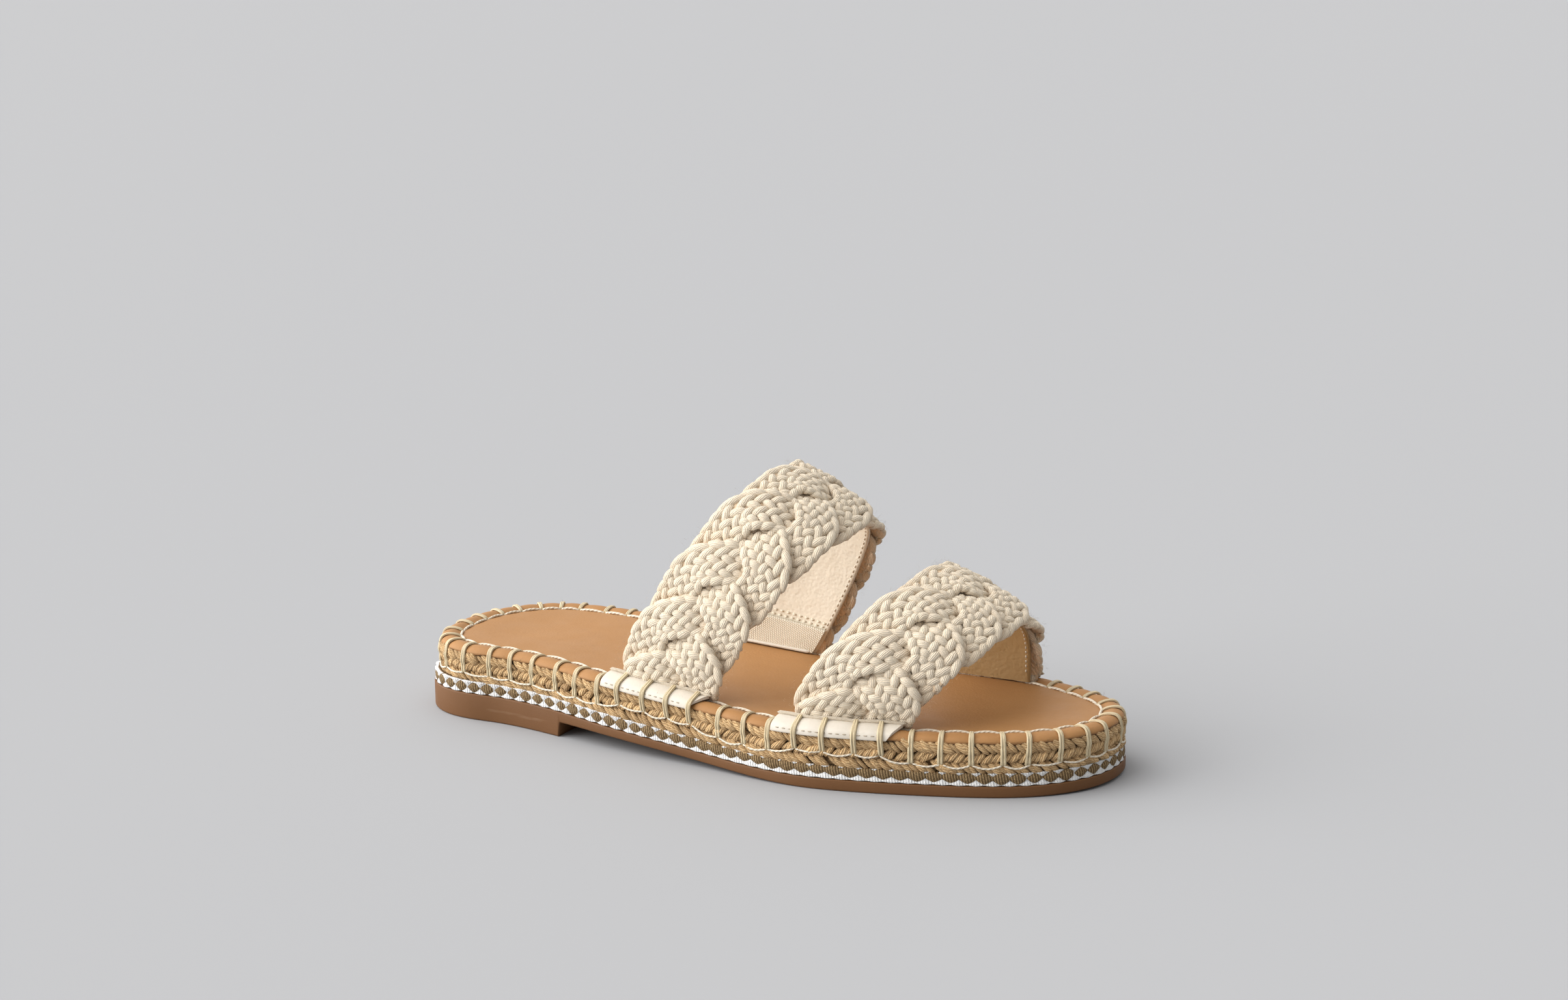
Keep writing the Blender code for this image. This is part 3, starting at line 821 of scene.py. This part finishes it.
def footbed_surface():
    """Smooth tan sheet with a fine grain; a low tint darkens the underside of the roll: the raw cut edge's
    own dark colour, and painted shade under the roll.
    """
    s = Surface("tan_sheet", 0.5, 0.22)
    tan = s.mixed(s.noise(16.0, 4.0), (0.374, 0.187, 0.069), (0.430, 0.221, 0.086))
    mottled = s.mixed(s.ranged(s.noise(1.6, 3.0), 0.55, 0.8, 0.0, 0.35), tan, (0.325, 0.158, 0.057))
    colour = s.mixed(s.tint(), (0.055, 0.024, 0.010), mottled)
    s.roughness(s.ranged(s.noise(9.0, 4.0), 0.3, 0.7, 0.48, 0.60))
    return s.finished(colour, (s.pebbles(0.7), 0.045), (s.noise(5.0, 4.0), 0.06))


def thread_surface(name, dark, light, plies, turn_length):
    """Waxed thread with its plies showing."""
    s = Surface(name, 0.5, 0.4)
    ridges = s.ply(plies, turn_length)
    colour = s.mixed(s.math("MULTIPLY", s.math("ADD", ridges, s.noise(0.8, 2.0)), 0.5), dark, light)
    return s.finished(colour, (ridges, 0.12), (s.noise(0.3, 2.0), 0.05))


def cotton_surface():
    """Soft cream cord: fine yarns along the strand, warm shade in the gaps."""
    s = Surface("cream_cotton", 0.9, 0.15)
    yarns = s.ply(15, 30.0, 1.2)
    shade = s.mixed(s.noise(2.5, 3.0), (0.78, 0.680, 0.540), (0.84, 0.755, 0.622))
    lined = s.mixed(s.ranged(yarns, 0.0, 0.5), (0.78, 0.640, 0.465), shade)
    colour = s.mixed(s.tint(), (0.76, 0.535, 0.335), lined)
    s.sheen(0.35, (1.0, 0.95, 0.86))
    return s.finished(colour, (yarns, 0.15), (s.noise(0.45, 4.0), 0.12))


def white_leather_surface():
    s = Surface("white_leather", 0.45, 0.45)
    colour = s.mixed(s.noise(5.0, 3.0), (0.66, 0.600, 0.510), (0.72, 0.660, 0.575))
    return s.finished(colour, (s.pebbles(0.5), 0.03), (s.noise(2.4, 3.0), 0.1))


def lining_surface(name, dark, light):
    """Pebbled lining."""
    s = Surface(name, 0.6, 0.35)
    colour = s.mixed(s.noise(7.0, 4.0), dark, light)
    return s.finished(colour, (s.pebbles(1.1), 0.13), (s.noise(6.0, 3.0), 0.3))


def elastic_surface():
    """Basket weave of beige elastic; uv counts its threads."""
    s = Surface("elastic", 0.8, 0.25)
    along, up = s.uv()
    over = s.wave(s.math("MULTIPLY", along, 0.5))
    under = s.wave(s.math("MULTIPLY", up, 0.5))
    weave = s.math("ABSOLUTE", s.math("SUBTRACT", over, under))
    colour = s.mixed(weave, (0.74, 0.65, 0.495), (0.88, 0.835, 0.735))
    return s.finished(colour, (weave, 0.2))


def outsole(material):
    """Rubber sole with rounded edges, the heel block and its breast."""
    breast_start = HEEL_BREAST - 2.0 * HEEL_BREAST_ROUND
    breast = np.linspace(breast_start, HEEL_BREAST + HEEL_BREAST_ROUND, BREAST_STATIONS)
    xs = np.union1d(stations(OUTSOLE_STATIONS), breast)
    turns = np.linspace(0.0, math.pi / 2.0, ROUND_STEPS)
    floor = rubber_bottom(np.concatenate([xs, xs[-2:0:-1]]))
    loops = []
    for turn in turns:
        flat = outline(xs, OUTSOLE_BOTTOM_ROUND * (1.0 - math.sin(turn)))
        loops.append(np.column_stack([flat, floor + OUTSOLE_BOTTOM_ROUND * (1.0 - math.cos(turn))]))
    for turn in turns:
        flat = outline(xs, OUTSOLE_TOP_ROUND * (1.0 - math.cos(turn)))
        top = rubber_top(flat[:, 0]) - OUTSOLE_TOP_ROUND * (1.0 - math.sin(turn))
        loops.append(np.column_stack([flat, top]))
    wall = grid_parts(np.array(loops), closed_columns=True)
    caps = [cap_parts(loops[0], xs.size), cap_parts(loops[-1], xs.size)]
    add_piece("outsole_rubber", joined([wall] + caps), material, "rubber", "outsole")


def cap_parts(loop, half):
    """A flat cover over an outline loop, between its lateral and its medial side."""
    medial = np.vstack([loop[:1], loop[half:][::-1], loop[half - 1:half]])
    return grid_parts(np.stack([loop[:half], medial], axis=1))


def woven_trim(edge, material):
    """The ribbon on the rubber's rim: brown knots, and white picots between them."""
    count = TRIM_KNOTS * KNOT_COLUMNS
    lengths = np.arange(count) * edge.total / count
    beside = np.abs(2.0 * (np.arange(count) / KNOT_COLUMNS % 1.0) - 1.0)
    x = edge.base(lengths)[0][:, 0]
    forward = smooth(x, *TRIM_CHANGE)
    forward = forward - TRIM_CHANGE_BACK_SHARE * smooth(x, *TRIM_CHANGE_BACK)
    raised = TRIM_FORWARD_RAISE * forward
    beside = beside * (1.0 - TRIM_FORWARD_MERGE * forward)
    wobble = np.repeat(rng.normal(0.0, TRIM_WOBBLE, TRIM_KNOTS), KNOT_COLUMNS)
    share = np.linspace(-1.0, 1.0, TRIM_ROWS)[:, None]
    reach = beside ** TRIM_KNOT_POWER + np.abs(share - raised) ** TRIM_KNOT_POWER + wobble
    knot = TRIM_KNOT_RELIEF * np.clip(1.0 - reach ** 2, 0.0, None) ** 0.7
    white = np.clip(reach - 1.0, 0.0, 1.0)
    picot = TRIM_PICOT_RELIEF * np.sqrt(white * (2.0 - white))
    height = TRIM_MIDDLE + TRIM_HALF_HEIGHT * share + TRIM_SCALLOP * (beside - 0.5) * share ** 3
    front = edge.points(lengths, TRIM_INSET - knot - picot, height, flared=True)
    back_height = TRIM_MIDDLE + TRIM_HALF_HEIGHT * share[[0, -1]]
    back = edge.points(lengths, TRIM_BACK_INSET, back_height, flared=True)
    tint = np.pad(smooth(reach, *TRIM_KNOT_EDGE), ((1, 1), (0, 0)))
    parts = grid_parts(np.vstack([back[:1], front, back[1:]]), closed_rows=True, closed_columns=True,
                       tint=tint, uv_size=(TRIM_KNOTS, 1.0))
    add_piece("woven_trim", parts, material, "trim", "trim_braid")


def jute_strands(edge, row):
    """One row of slanted strands around the sole."""
    count = int(edge.total / row.pitch)
    each = (count, 1)
    starts = np.arange(count) * edge.total / count + rng.normal(0.0, STRAND_SPREAD.start, count)
    t = shares(STRAND_SAMPLES)
    bow = np.sin(math.pi * t)
    lengths = starts[:, None] + row.lean * rng.normal(1.0, STRAND_SPREAD.lean, each) * t
    heights = row.start_height + (row.end_height - row.start_height) * t
    heights = heights + rng.normal(0.0, STRAND_SPREAD.height, each)
    straight = row.start_inset + (row.end_inset - row.start_inset) * t
    insets = straight - (straight - row.middle_inset) * bow ** 0.7
    insets = insets + rng.normal(0.0, STRAND_SPREAD.inset, each)
    thick = rng.normal(1.0, STRAND_SPREAD.size, each) * rising(STRAND_END_SIZE, bow ** 0.6)
    # The random spread is each strand's own tone; the darker ends are painted shade.
    tint = rng.normal(STRAND_TINT, STRAND_SPREAD.tint, each) * rising(STRAND_END_SHADE, bow)
    return tube_parts(edge.points(lengths, insets, heights), edge.outward(lengths), STRAND_HALF_WIDTH * thick,
                      STRAND_HALF_HEIGHT * thick, CORD_SIDES, tint)


def jute_fibres(edge):
    """Loose hairs that stand off the jute."""
    each = (FIBRE_COUNT, 1)
    lengths = rng.uniform(0.0, edge.total, each)
    heights = rng.uniform(*FIBRE_HEIGHTS, each)
    t = shares(HAIR_SAMPLES)
    run = rng.normal(0.0, FIBRE_RUN, each) * t
    rise = rng.normal(0.0, FIBRE_RISE, each) * t
    stand = np.abs(rng.normal(0.0, FIBRE_STAND, each)) + FIBRE_LEAST_STAND
    curl = rng.normal(0.0, FIBRE_CURL, each) * t * t
    insets = FIBRE_INSET - stand * np.sin(math.pi * 0.7 * t)
    paths = edge.points(lengths + run + curl, insets, heights + rise + curl)
    tint = rng.uniform(*FIBRE_TINTS, FIBRE_COUNT)
    return tube_parts(paths, (0.0, 0.3, 1.0), FIBRE_RADIUS, FIBRE_RADIUS, HAIR_SIDES, tint)


def jute_midsole(edge, material):
    """Rows of strands round a shaded core, with loose hairs."""
    lengths = np.linspace(0.0, edge.total, JUTE_CORE_COLUMNS, endpoint=False)[None, :]
    heights = np.array([GAP, JUTE_CORE_TOP])[:, None]
    wall = edge.points(lengths, JUTE_CORE_INSET, heights)
    # The core is darkened with painted shade.
    core = grid_parts(wall, closed_columns=True, tint=JUTE_CORE_SHADE)
    rows = [jute_strands(edge, row) for row in JUTE_ROWS]
    parts = joined([core] + rows + [jute_fibres(edge)])
    add_piece("jute_rope", parts, material, "jute", "jute_midsole")


def profile_samples(rows, count):
    """Evenly spaced points on a smooth curve through rows of inset and height."""
    table = np.array(rows)
    lengths = run_lengths(table)
    places = np.linspace(0.0, lengths[-1], count)
    return natural_spline(lengths, table[:, 0])(places), natural_spline(lengths, table[:, 1])(places)


def profile_outward(insets, heights):
    """Directions square to a profile, as steps of inset and of height."""
    run = np.gradient(insets)
    rise = np.gradient(heights)
    size = np.hypot(run, rise)
    return rise / size, -run / size


def puff(lengths, holes):
    """0 at each stitch, swelling to 1 halfway to the next."""
    turns = np.interp(lengths, holes, np.arange(len(holes)))
    return np.abs(np.sin(math.pi * turns)) ** 0.4


def stitch_holes(edge):
    """Lengths along the outline of the stitch holes, with one before the first and two after the last."""
    pitch = edge.total / STITCH_COUNT
    jitter = rng.uniform(-1.0, 1.0, STITCH_COUNT) * STITCH_JITTER
    holes = STITCH_START + pitch * np.arange(STITCH_COUNT) + jitter
    return np.concatenate([holes[-1:] - edge.total, holes, holes[:2] + edge.total])


def footbed(edge, holes, material):
    """Padded footbed: rolled edge drawn in at every stitch, shallow dish inside."""
    lengths = np.linspace(0.0, edge.total, FOOTBED_COLUMNS, endpoint=False)
    insets, heights = profile_samples(FOOTBED_EDGE, FOOTBED_EDGE_SAMPLES)
    out_inset, out_height = profile_outward(insets, heights)
    swell = puff(lengths, holes)
    pull = FOOTBED_PINCH * (1.0 - swell) - FOOTBED_SWELL * swell
    turns = lengths * 2.0 * math.pi / edge.total
    waves = [np.sin(wave * turns + phase) for phase, wave in enumerate(FOOTBED_CUT_WAVES)]
    wander = FOOTBED_CUT_WANDER * np.mean(waves, axis=0)
    weight = 1.0 - smooth(insets, *FOOTBED_PUFF_END)
    cut = 1.0 - smooth(heights, *FOOTBED_CUT_HEIGHTS)
    inset = insets[:, None] + pull * (weight * out_inset)[:, None]
    height = heights[:, None] + pull * (weight * out_height)[:, None] + wander * cut[:, None]
    rows = list(edge.points(lengths, inset, height))
    # Low tints on the underside: the raw edge's dark colour, and painted shade under the roll.
    tints = list(smooth(np.arange(FOOTBED_EDGE_SAMPLES), *FOOTBED_RAW_EDGE_AND_SHADE_ROWS))
    rim = rows[-1]
    spine_x = np.clip(rim[:, 0], *SPINE)
    spine = np.column_stack([spine_x, plan_centre(spine_x)])
    for share in np.linspace(0.0, 1.0, FOOTBED_RINGS)[1:]:
        flat = rim[:, :2] + (spine - rim[:, :2]) * share
        dish = FOOTBED_DISH * smooth(share, 0.0, FOOTBED_DISH_SHARE)
        height = rubber_top(flat[:, 0]) + FOOTBED_TOP - dish
        rows.append(np.column_stack([flat, height]))
        tints.append(1.0)
    under = np.column_stack([spine, rubber_top(spine[:, 0]) + FOOTBED_EDGE[0].height])
    tint = np.array([tints[0]] + tints)[:, None]
    parts = grid_parts(np.array([under] + rows), closed_columns=True, tint=tint)
    piece = add_piece("footbed_wrapped", parts, material, "footbed", "footbed")


def on_tab(edge, length):
    """Whether a tab covers the edge at this length."""
    for row in TABS:
        ends = sorted([edge.length_at(row.heel_x, row.side), edge.length_at(row.toe_x, row.side)])
        if ends[0] + TAB_BAR_MARGIN < length < ends[1] - TAB_BAR_MARGIN:
            return True
    return False


def blanket_stitch(edge, holes, bar_thread, thread):
    """Double bars over the edge, the chain along the crease and the thread that joins the bar ends."""
    bars = []
    ends = []
    for hole in holes[1:-2]:
        path = TAB_BAR_PATH if on_tab(edge, hole) else BAR_PATH
        insets, heights = profile_samples(path, BAR_SAMPLES)
        ends.append(path[-1].height + SAG_START)
        sway = np.linspace(0.0, rng.normal(0.0, BAR_SWAY), BAR_SAMPLES)
        for shift in (-BAR_SPACING, BAR_SPACING):
            spread = shift * np.clip(np.linspace(*BAR_SPREAD, BAR_SAMPLES), 0.0, 1.0)
            bars.append(edge.points(hole + spread + sway, insets, heights))
    bars = np.array(bars)
    sides = np.cross(UP, edge.outward(np.repeat(holes[1:-2], 2)))[:, None]
    ups = np.cross(np.gradient(bars, axis=1), sides)
    parts = tube_parts(bars, ups, *BAR_SIZE, CORD_SIDES)
    add_piece("stitch_bars", parts, bar_thread, "cotton")
    t = shares(STITCH_SAMPLES)
    arch = np.sin(math.pi * t)
    lengths = holes[1:-2, None] + np.diff(holes[1:-1])[:, None] * t
    chain = edge.points(lengths, CHAIN_INSET + CHAIN_BOW * arch, CHAIN_HEIGHT + CHAIN_RISE * arch ** 0.7)
    add_cord("stitch_chain", chain, UP, CHAIN_RADIUS, thread)
    ends = np.append(ends, ends[0])
    level = ends[:-1, None] + np.diff(ends)[:, None] * t
    drop = SAG_DROP * rng.uniform(*SAG_DROP_SHARES, (STITCH_COUNT, 1)) * arch
    sag = edge.points(lengths, SAG_INSET + SAG_SWING * np.cos(2.0 * math.pi * t), level - drop)
    add_cord("stitch_thread", sag, edge.outward(lengths), SAG_RADIUS, thread)


def tab_surface(edge, row, holes):
    """A tab's outer face as a function of column and row shares, and of the height above it."""
    profile = [EdgeRow(row.inner_inset, TAB_TOP_HEIGHT)] + TAB_EDGE
    heel = edge.length_at(row.heel_x, row.side)
    toe = edge.length_at(row.toe_x, row.side)
    toeward = 1.0 if toe > heel else -1.0
    insets, heights = profile_samples(profile, TAB_PROFILE_SAMPLES)
    out_inset, out_height = profile_outward(insets, heights)
    index = np.arange(TAB_PROFILE_SAMPLES)

    def face(column, down, above):
        column, down, above = np.broadcast_arrays(column, down, above)
        length = heel + (toe - heel - toeward * TAB_CUT * down ** TAB_CUT_POWER) * column
        place = down * index[-1]
        pinch = TAB_PINCH * (1.0 - puff(length, holes)) * smooth(down, 0.0, TAB_PINCH_START)
        lift = above - np.where(above > 0.5 * TAB_THICKNESS, pinch, 0.0)
        inset = np.interp(place, index, insets) + lift * np.interp(place, index, out_inset)
        height = np.interp(place, index, heights) + lift * np.interp(place, index, out_height)
        return edge.points(length, inset, height)

    return face


def tab(edge, row, holes, leather, thread, cord):
    """A leather tab with its running stitch and the cord along its upper edge."""
    face = tab_surface(edge, row, holes)
    columns = shares(TAB_COLUMNS)
    downs = np.linspace(0.0, 1.0, TAB_ROWS)[:, None]
    parts = slab_parts(face(columns, downs, TAB_THICKNESS), face(columns, downs, 0.0))
    add_piece(row.name + "_leather", parts, leather, "white_leather", row.name)
    span = abs(row.toe_x - row.heel_x)
    places, bow = stitch_row(TAB_STITCH, TAB_STITCH_START, span - TAB_CUT)
    dashes = face(places / span, TAB_STITCH_DOWN, TAB_THICKNESS + bow)
    add_stitches(row.name + "_stitch", dashes, (0.0, row.side, 0.6), TAB_STITCH, thread)
    along = np.linspace(*TAB_CORD_ENDS, TAB_CORD_SAMPLES)[None, :]
    wander = np.sin(along * TAB_CORD_WAVES)[..., None] * np.array(TAB_CORD_WANDER)
    shift = np.array([0.0, row.side * TAB_CORD_SHIFT, TAB_CORD_RISE])
    line = face(along, 0.0, TAB_THICKNESS) + shift + wander
    add_cord(row.name + "_cord", line, UP, TAB_CORD_RADIUS, cord)


BandLine = namedtuple("BandLine", "length offset lift run")


def band_line(form, band):
    """Middle line of a plait band on the strap: length, offset, lift and the run along it."""
    length = np.linspace(0.0, form.total, BAND_STATIONS)
    phase = 2.0 * math.pi * ((length - PLAIT_START) / PLAIT_PERIOD + band / PLAIT_BANDS)
    offset = PLAIT_SWING_SHARE * form.width(length) * (np.sin(phase) + PLAIT_FLATNESS * np.sin(3.0 * phase))
    step = np.tanh(PLAIT_STEEPNESS * np.sin(2.0 * phase)) / math.tanh(PLAIT_STEEPNESS)
    lift = PLAIT_LIFT - PLAIT_WEAVE * step * (1.0 - PLAIT_EDGE_CALM * np.sin(phase) ** 4)
    return BandLine(length, offset, lift, run_lengths(np.column_stack([length, offset])))


def band_place(form, line, along, across, height):
    """Points and outward directions on a plait band, by run along it, offset across it and height on it."""
    length, offset, lift, run = line
    ahead = unit(np.column_stack([np.gradient(length), np.gradient(offset)]))
    where = np.interp(along, run, length) - np.interp(along, run, ahead[:, 1]) * across
    where = np.clip(where, 0.0, form.total)
    side = np.interp(along, run, offset) + np.interp(along, run, ahead[:, 0]) * across
    level = np.maximum(np.interp(along, run, lift), PLAIT_FLOOR) + height
    return form.place(where, side, level * form.foot_taper(where, PLAIT_FOOT_LENGTH))


def band_loops(form, line):
    """Loops of cord on a band's face: columns that slant to and fro, each loop dipping at both ends."""
    count = int(line.run[-1] / LOOP_PITCH)
    each = (count, 1)
    t = np.linspace(-1.0, 1.0, LOOP_SAMPLES)[None, :]
    body = rising(LOOP_END_SIZE, 1.0 - t * t)
    end_shade = rising(LOOP_END_SHADE, 1.0 - np.abs(t) ** 3)
    tubes = []
    for column in range(LOOP_COLUMNS):
        slant = math.radians(LOOP_EDGE_ANGLE if column in (0, LOOP_COLUMNS - 1) else LOOP_ANGLE)
        turn = 1.0 if column % 2 == 0 else -1.0
        angle = slant * rng.normal(turn, LOOP_SPREAD.angle, each)
        half = LOOP_HALF_LENGTH * rng.normal(1.0, LOOP_SPREAD.length, each)
        centre = (np.arange(count)[:, None] + 0.25 * (2.0 + turn)) * LOOP_PITCH
        centre = centre + rng.normal(0.0, LOOP_SPREAD.place, each)
        along = np.clip(centre + half * np.cos(angle) * t, 0.0, line.run[-1])
        across = (column - (LOOP_COLUMNS - 1) / 2.0) * LOOP_SPACING + half * np.sin(angle) * t
        points, outward = band_place(form, line, along, across, LOOP_RISE - LOOP_DIP * t * t)
        under = 1.0 - smooth(np.interp(along, line.run, line.lift), PLAIT_FLOOR, PLAIT_LIFT)
        # Painted shade: darker loop ends, and darker loops where the band passes under another.
        tint = rng.normal(1.0, LOOP_SPREAD.tint, each) * end_shade * (1.0 - PLAIT_SHADE * under)
        size = (LOOP_HALF_WIDTH * body, LOOP_HALF_HEIGHT * body)
        tubes.append(tube_parts(points, outward, *size, CORD_SIDES, tint))
    return tubes


def band_core(form, line):
    """The inside of a band, seen only in the gaps between its loops and darkened there by painted shade."""
    along = np.linspace(0.0, line.run[-1], BAND_CORE_SAMPLES)[None, :]
    points, outward = band_place(form, line, along, 0.0, -BAND_CORE_DROP)
    return tube_parts(points, outward, *BAND_SIZE, BAND_CORE_SIDES, BAND_CORE_SHADE)


def strap_plait(strap, form, material):
    """The three bands of one strap, and the fuzz on them."""
    cores = []
    loops = []
    for band in range(PLAIT_BANDS):
        line = band_line(form, band)
        cores.append(band_core(form, line))
        loops.extend(band_loops(form, line))
    add_piece(strap.name + "_plait", joined(cores + loops), material, "cotton", strap.name)
    add_piece(strap.name + "_fuzz", strap_fuzz(form), material, "cotton")


def strap_fuzz(form):
    """Short hairs that stand off the cords."""
    lengths = rng.uniform(FUZZ_FOOT_GAP, form.total - FUZZ_FOOT_GAP, FUZZ_PER_STRAP)
    offsets = rng.uniform(-FUZZ_REACH, FUZZ_REACH, FUZZ_PER_STRAP) * form.width(lengths)
    start, outward = form.place(lengths, offsets, rng.uniform(*FUZZ_HEIGHTS, FUZZ_PER_STRAP))
    t = np.linspace(0.0, 1.0, HAIR_SAMPLES)[None, :, None]
    lean = rng.normal(0.0, FUZZ_LEAN, (FUZZ_PER_STRAP, 3))
    stand = outward * rng.uniform(*FUZZ_STAND, (FUZZ_PER_STRAP, 1))
    curl = rng.normal(0.0, FUZZ_CURL, (FUZZ_PER_STRAP, 3))
    paths = start[:, None] + (stand + lean)[:, None] * t + curl[:, None] * t * t
    return tube_parts(paths, (0.3, 0.2, 1.0), FUZZ_RADIUS, FUZZ_RADIUS, HAIR_SIDES)


def strap_layer(form, lengths, offsets, front_depth, back_depth, uv_size=(1.0, 1.0)):
    """A sheet between two depths behind the middle surface."""
    front, back = (form.place(lengths, offsets, -depth)[0] for depth in (front_depth, back_depth))
    return slab_parts(front, back, uv_size)


def lining(strap, form, leather, backing, thread):
    """Lining inside a strap, the backing behind the plait, and the hem stitches along the toe edge."""
    lengths = np.linspace(0.0, form.total, LINING_COLUMNS)[None, :]
    back = form.backing(lengths)
    half = form.width(lengths) / 2.0
    across = np.linspace(-1.0, 1.0, LINING_ROWS)[:, None]
    sheet = strap_layer(form, lengths, (half - LINING_EDGE) * across, back - LINING_THICKNESS, back)
    add_piece(strap.name + "_lining", sheet, leather, "cotton")
    offsets = (half - BACKING_EDGE) * across
    fill = strap_layer(form, lengths, offsets, BACKING_DEPTH, back - LINING_THICKNESS)
    add_piece(strap.name + "_backing", fill, backing, "cotton")
    lengths, bow = stitch_row(HEM_STITCH, HEM_FOOT_GAP, form.total - HEM_FOOT_GAP)
    offsets = form.width(lengths) / 2.0 - HEM_INSET
    dashes, outward = form.place(lengths, offsets, -form.backing(lengths) - bow)
    add_stitches(strap.name + "_hem", dashes, -outward, HEM_STITCH, thread)


def elastic_gore(form, elastic, thread, piping):
    """Elastic panel above the rear strap's medial foot, with the double seam that holds it."""
    lengths = form.total - np.linspace(GORE_HEIGHT, 0.0, GORE_ROWS)[:, None]
    offsets = form.width(lengths) * (0.5 - GORE_MARGIN) * np.linspace(-1.0, 1.0, GORE_COLUMNS)[None, :]
    depth = form.backing(lengths) + GAP
    panel = strap_layer(form, lengths, offsets, depth, depth + GORE_THICKNESS, GORE_THREADS)
    add_piece("elastic_panel", panel, elastic, "elastic", "elastic_gore_rear")
    half = float(form.width(form.total - GORE_HEIGHT)) * (0.5 - GORE_MARGIN)
    across, bow = stitch_row(GORE_STITCH, -half, half - GORE_STITCH.length)
    rows = []
    for row in range(GORE_SEAM_ROWS):
        up = form.total - GORE_HEIGHT - GORE_SEAM_GAP - GORE_SEAM_SPACING * row
        rows.append(form.place(up, across, -form.backing(up) - bow))
    dashes, outward = (np.vstack(kind) for kind in zip(*rows))
    add_stitches("elastic_seam", dashes, -outward, GORE_STITCH, thread)
    across = np.linspace(-half, half, GORE_PIPING_SAMPLES)[None, :]
    foot = form.total - GORE_PIPING_RADIUS
    line, outward = form.place(foot, across, -STRAP_BASE_BACKING - GAP - GORE_THICKNESS)
    add_cord("elastic_piping", line, outward, GORE_PIPING_RADIUS, piping, "white_leather")


def add_floor():
    """A plain pale floor, large enough to fill the view."""
    corners = [(FLOOR_HALF * x, FLOOR_HALF * y, 0.0) for x, y in ((-1, -1), (1, -1), (1, 1), (-1, 1))]
    mesh = bpy.data.meshes.new("floor")
    mesh.from_pydata(corners, [], [(0, 1, 2, 3)])
    mesh.materials.append(Surface("floor_grey", 0.9, 0.1).finished(FLOOR_COLOUR))
    floor = bpy.data.objects.new("floor", mesh)
    bpy.context.scene.collection.objects.link(floor)


def add_lights():
    """Two soft suns from the heel side, one low, and pale surroundings that dim away from them."""
    for sun in SUNS:
        data = bpy.data.lights.new(sun.name, "SUN")
        data.energy = sun.strength
        data.angle = math.radians(sun.spread)
        data.color = SUN_COLOUR
        light = bpy.data.objects.new(sun.name, data)
        light.rotation_euler = (-Vector(sun.direction)).to_track_quat("-Z", "Y").to_euler()
        bpy.context.scene.collection.objects.link(light)
    world = bpy.data.worlds.new("studio")
    world.use_nodes = True
    nodes = Nodes(world.node_tree)
    where = nodes.node("ShaderNodeTexCoord", {}).outputs["Generated"]
    share = nodes.node("ShaderNodeVectorMath", {0: where, 1: SURROUND_BRIGHT_SIDE}, operation="DOT_PRODUCT")
    strength = nodes.ranged(share.outputs["Value"], -1.0, 1.0, SURROUND_DIM, SURROUND_BRIGHT)
    background = nodes.tree.nodes["Background"]
    nodes.feed(background.inputs["Color"], SURROUND_COLOUR)
    nodes.feed(background.inputs["Strength"], strength)
    bpy.context.scene.world = world


def add_camera():
    """The photograph's camera: azimuth, elevation, roll and distance from its target."""
    azimuth, elevation, roll = (math.radians(a) for a in (CAMERA_AZIMUTH, CAMERA_ELEVATION, CAMERA_ROLL))
    turn = Euler((math.pi / 2.0 - elevation, 0.0, azimuth)).to_matrix() @ Matrix.Rotation(roll, 3, "Z")
    target = Vector((np.array(CAMERA_TARGET) - MIDDLE) * MM)
    data = bpy.data.cameras.new("camera")
    data.sensor_fit = "HORIZONTAL"
    data.sensor_width = SENSOR
    data.lens = SENSOR * FOCAL_PIXELS / PHOTO_WIDTH
    data.clip_start = CAMERA_CLIP_START
    camera = bpy.data.objects.new("camera", data)
    camera.matrix_world = Matrix.Translation(target + turn.col[2] * CAMERA_DISTANCE * MM) @ turn.to_4x4()
    bpy.context.scene.collection.objects.link(camera)
    bpy.context.scene.camera = camera


def main():
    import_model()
    bpy.context.scene.view_settings.view_transform = "Standard"
    add_camera()
    add_floor()
    add_lights()
    edge = SoleEdge()
    holes = stitch_holes(edge)
    cotton = cotton_surface()
    bar_thread = thread_surface("bar_thread", (0.52, 0.405, 0.235), (0.76, 0.655, 0.450), 5, 60.0)
    pale_thread = thread_surface("pale_thread", (0.66, 0.56, 0.42), (0.88, 0.82, 0.70), 2, 3.2)
    # The running stitch's thread is darker partly for its own beige-brown colour, partly as painted shade of
    # the stitches sunk in their holes.
    dash_thread_and_shade = thread_surface("dash_thread_and_shade", (0.32, 0.250, 0.170), (0.56, 0.480, 0.370), 2, 3.0)
    white_leather = white_leather_surface()
    linings = {
        "strap_rear": lining_surface("beige_lining", (0.80, 0.725, 0.590), (0.86, 0.800, 0.680)),
        # The front strap's lining is the beige lining painted darker and warmer: painted shade under the
        # strap, with the tan footbed's warm bounce.
        "strap_front": lining_surface("shaded_beige_lining", (0.38, 0.240, 0.102), (0.45, 0.293, 0.132)),
    }
    outsole(rubber_surface())
    woven_trim(edge, trim_surface())
    jute_midsole(edge, jute_surface())
    footbed(edge, holes, footbed_surface())
    blanket_stitch(edge, holes, bar_thread, pale_thread)
    for row in TABS:
        tab(edge, row, holes, white_leather, dash_thread_and_shade, cotton)
    for strap in STRAPS:
        form = StrapForm(strap)
        strap_plait(strap, form, cotton)
        lining(strap, form, linings[strap.name], linings["strap_rear"], pale_thread)
        if strap.name == "strap_rear":
            elastic_gore(form, elastic_surface(), pale_thread, white_leather)


main()
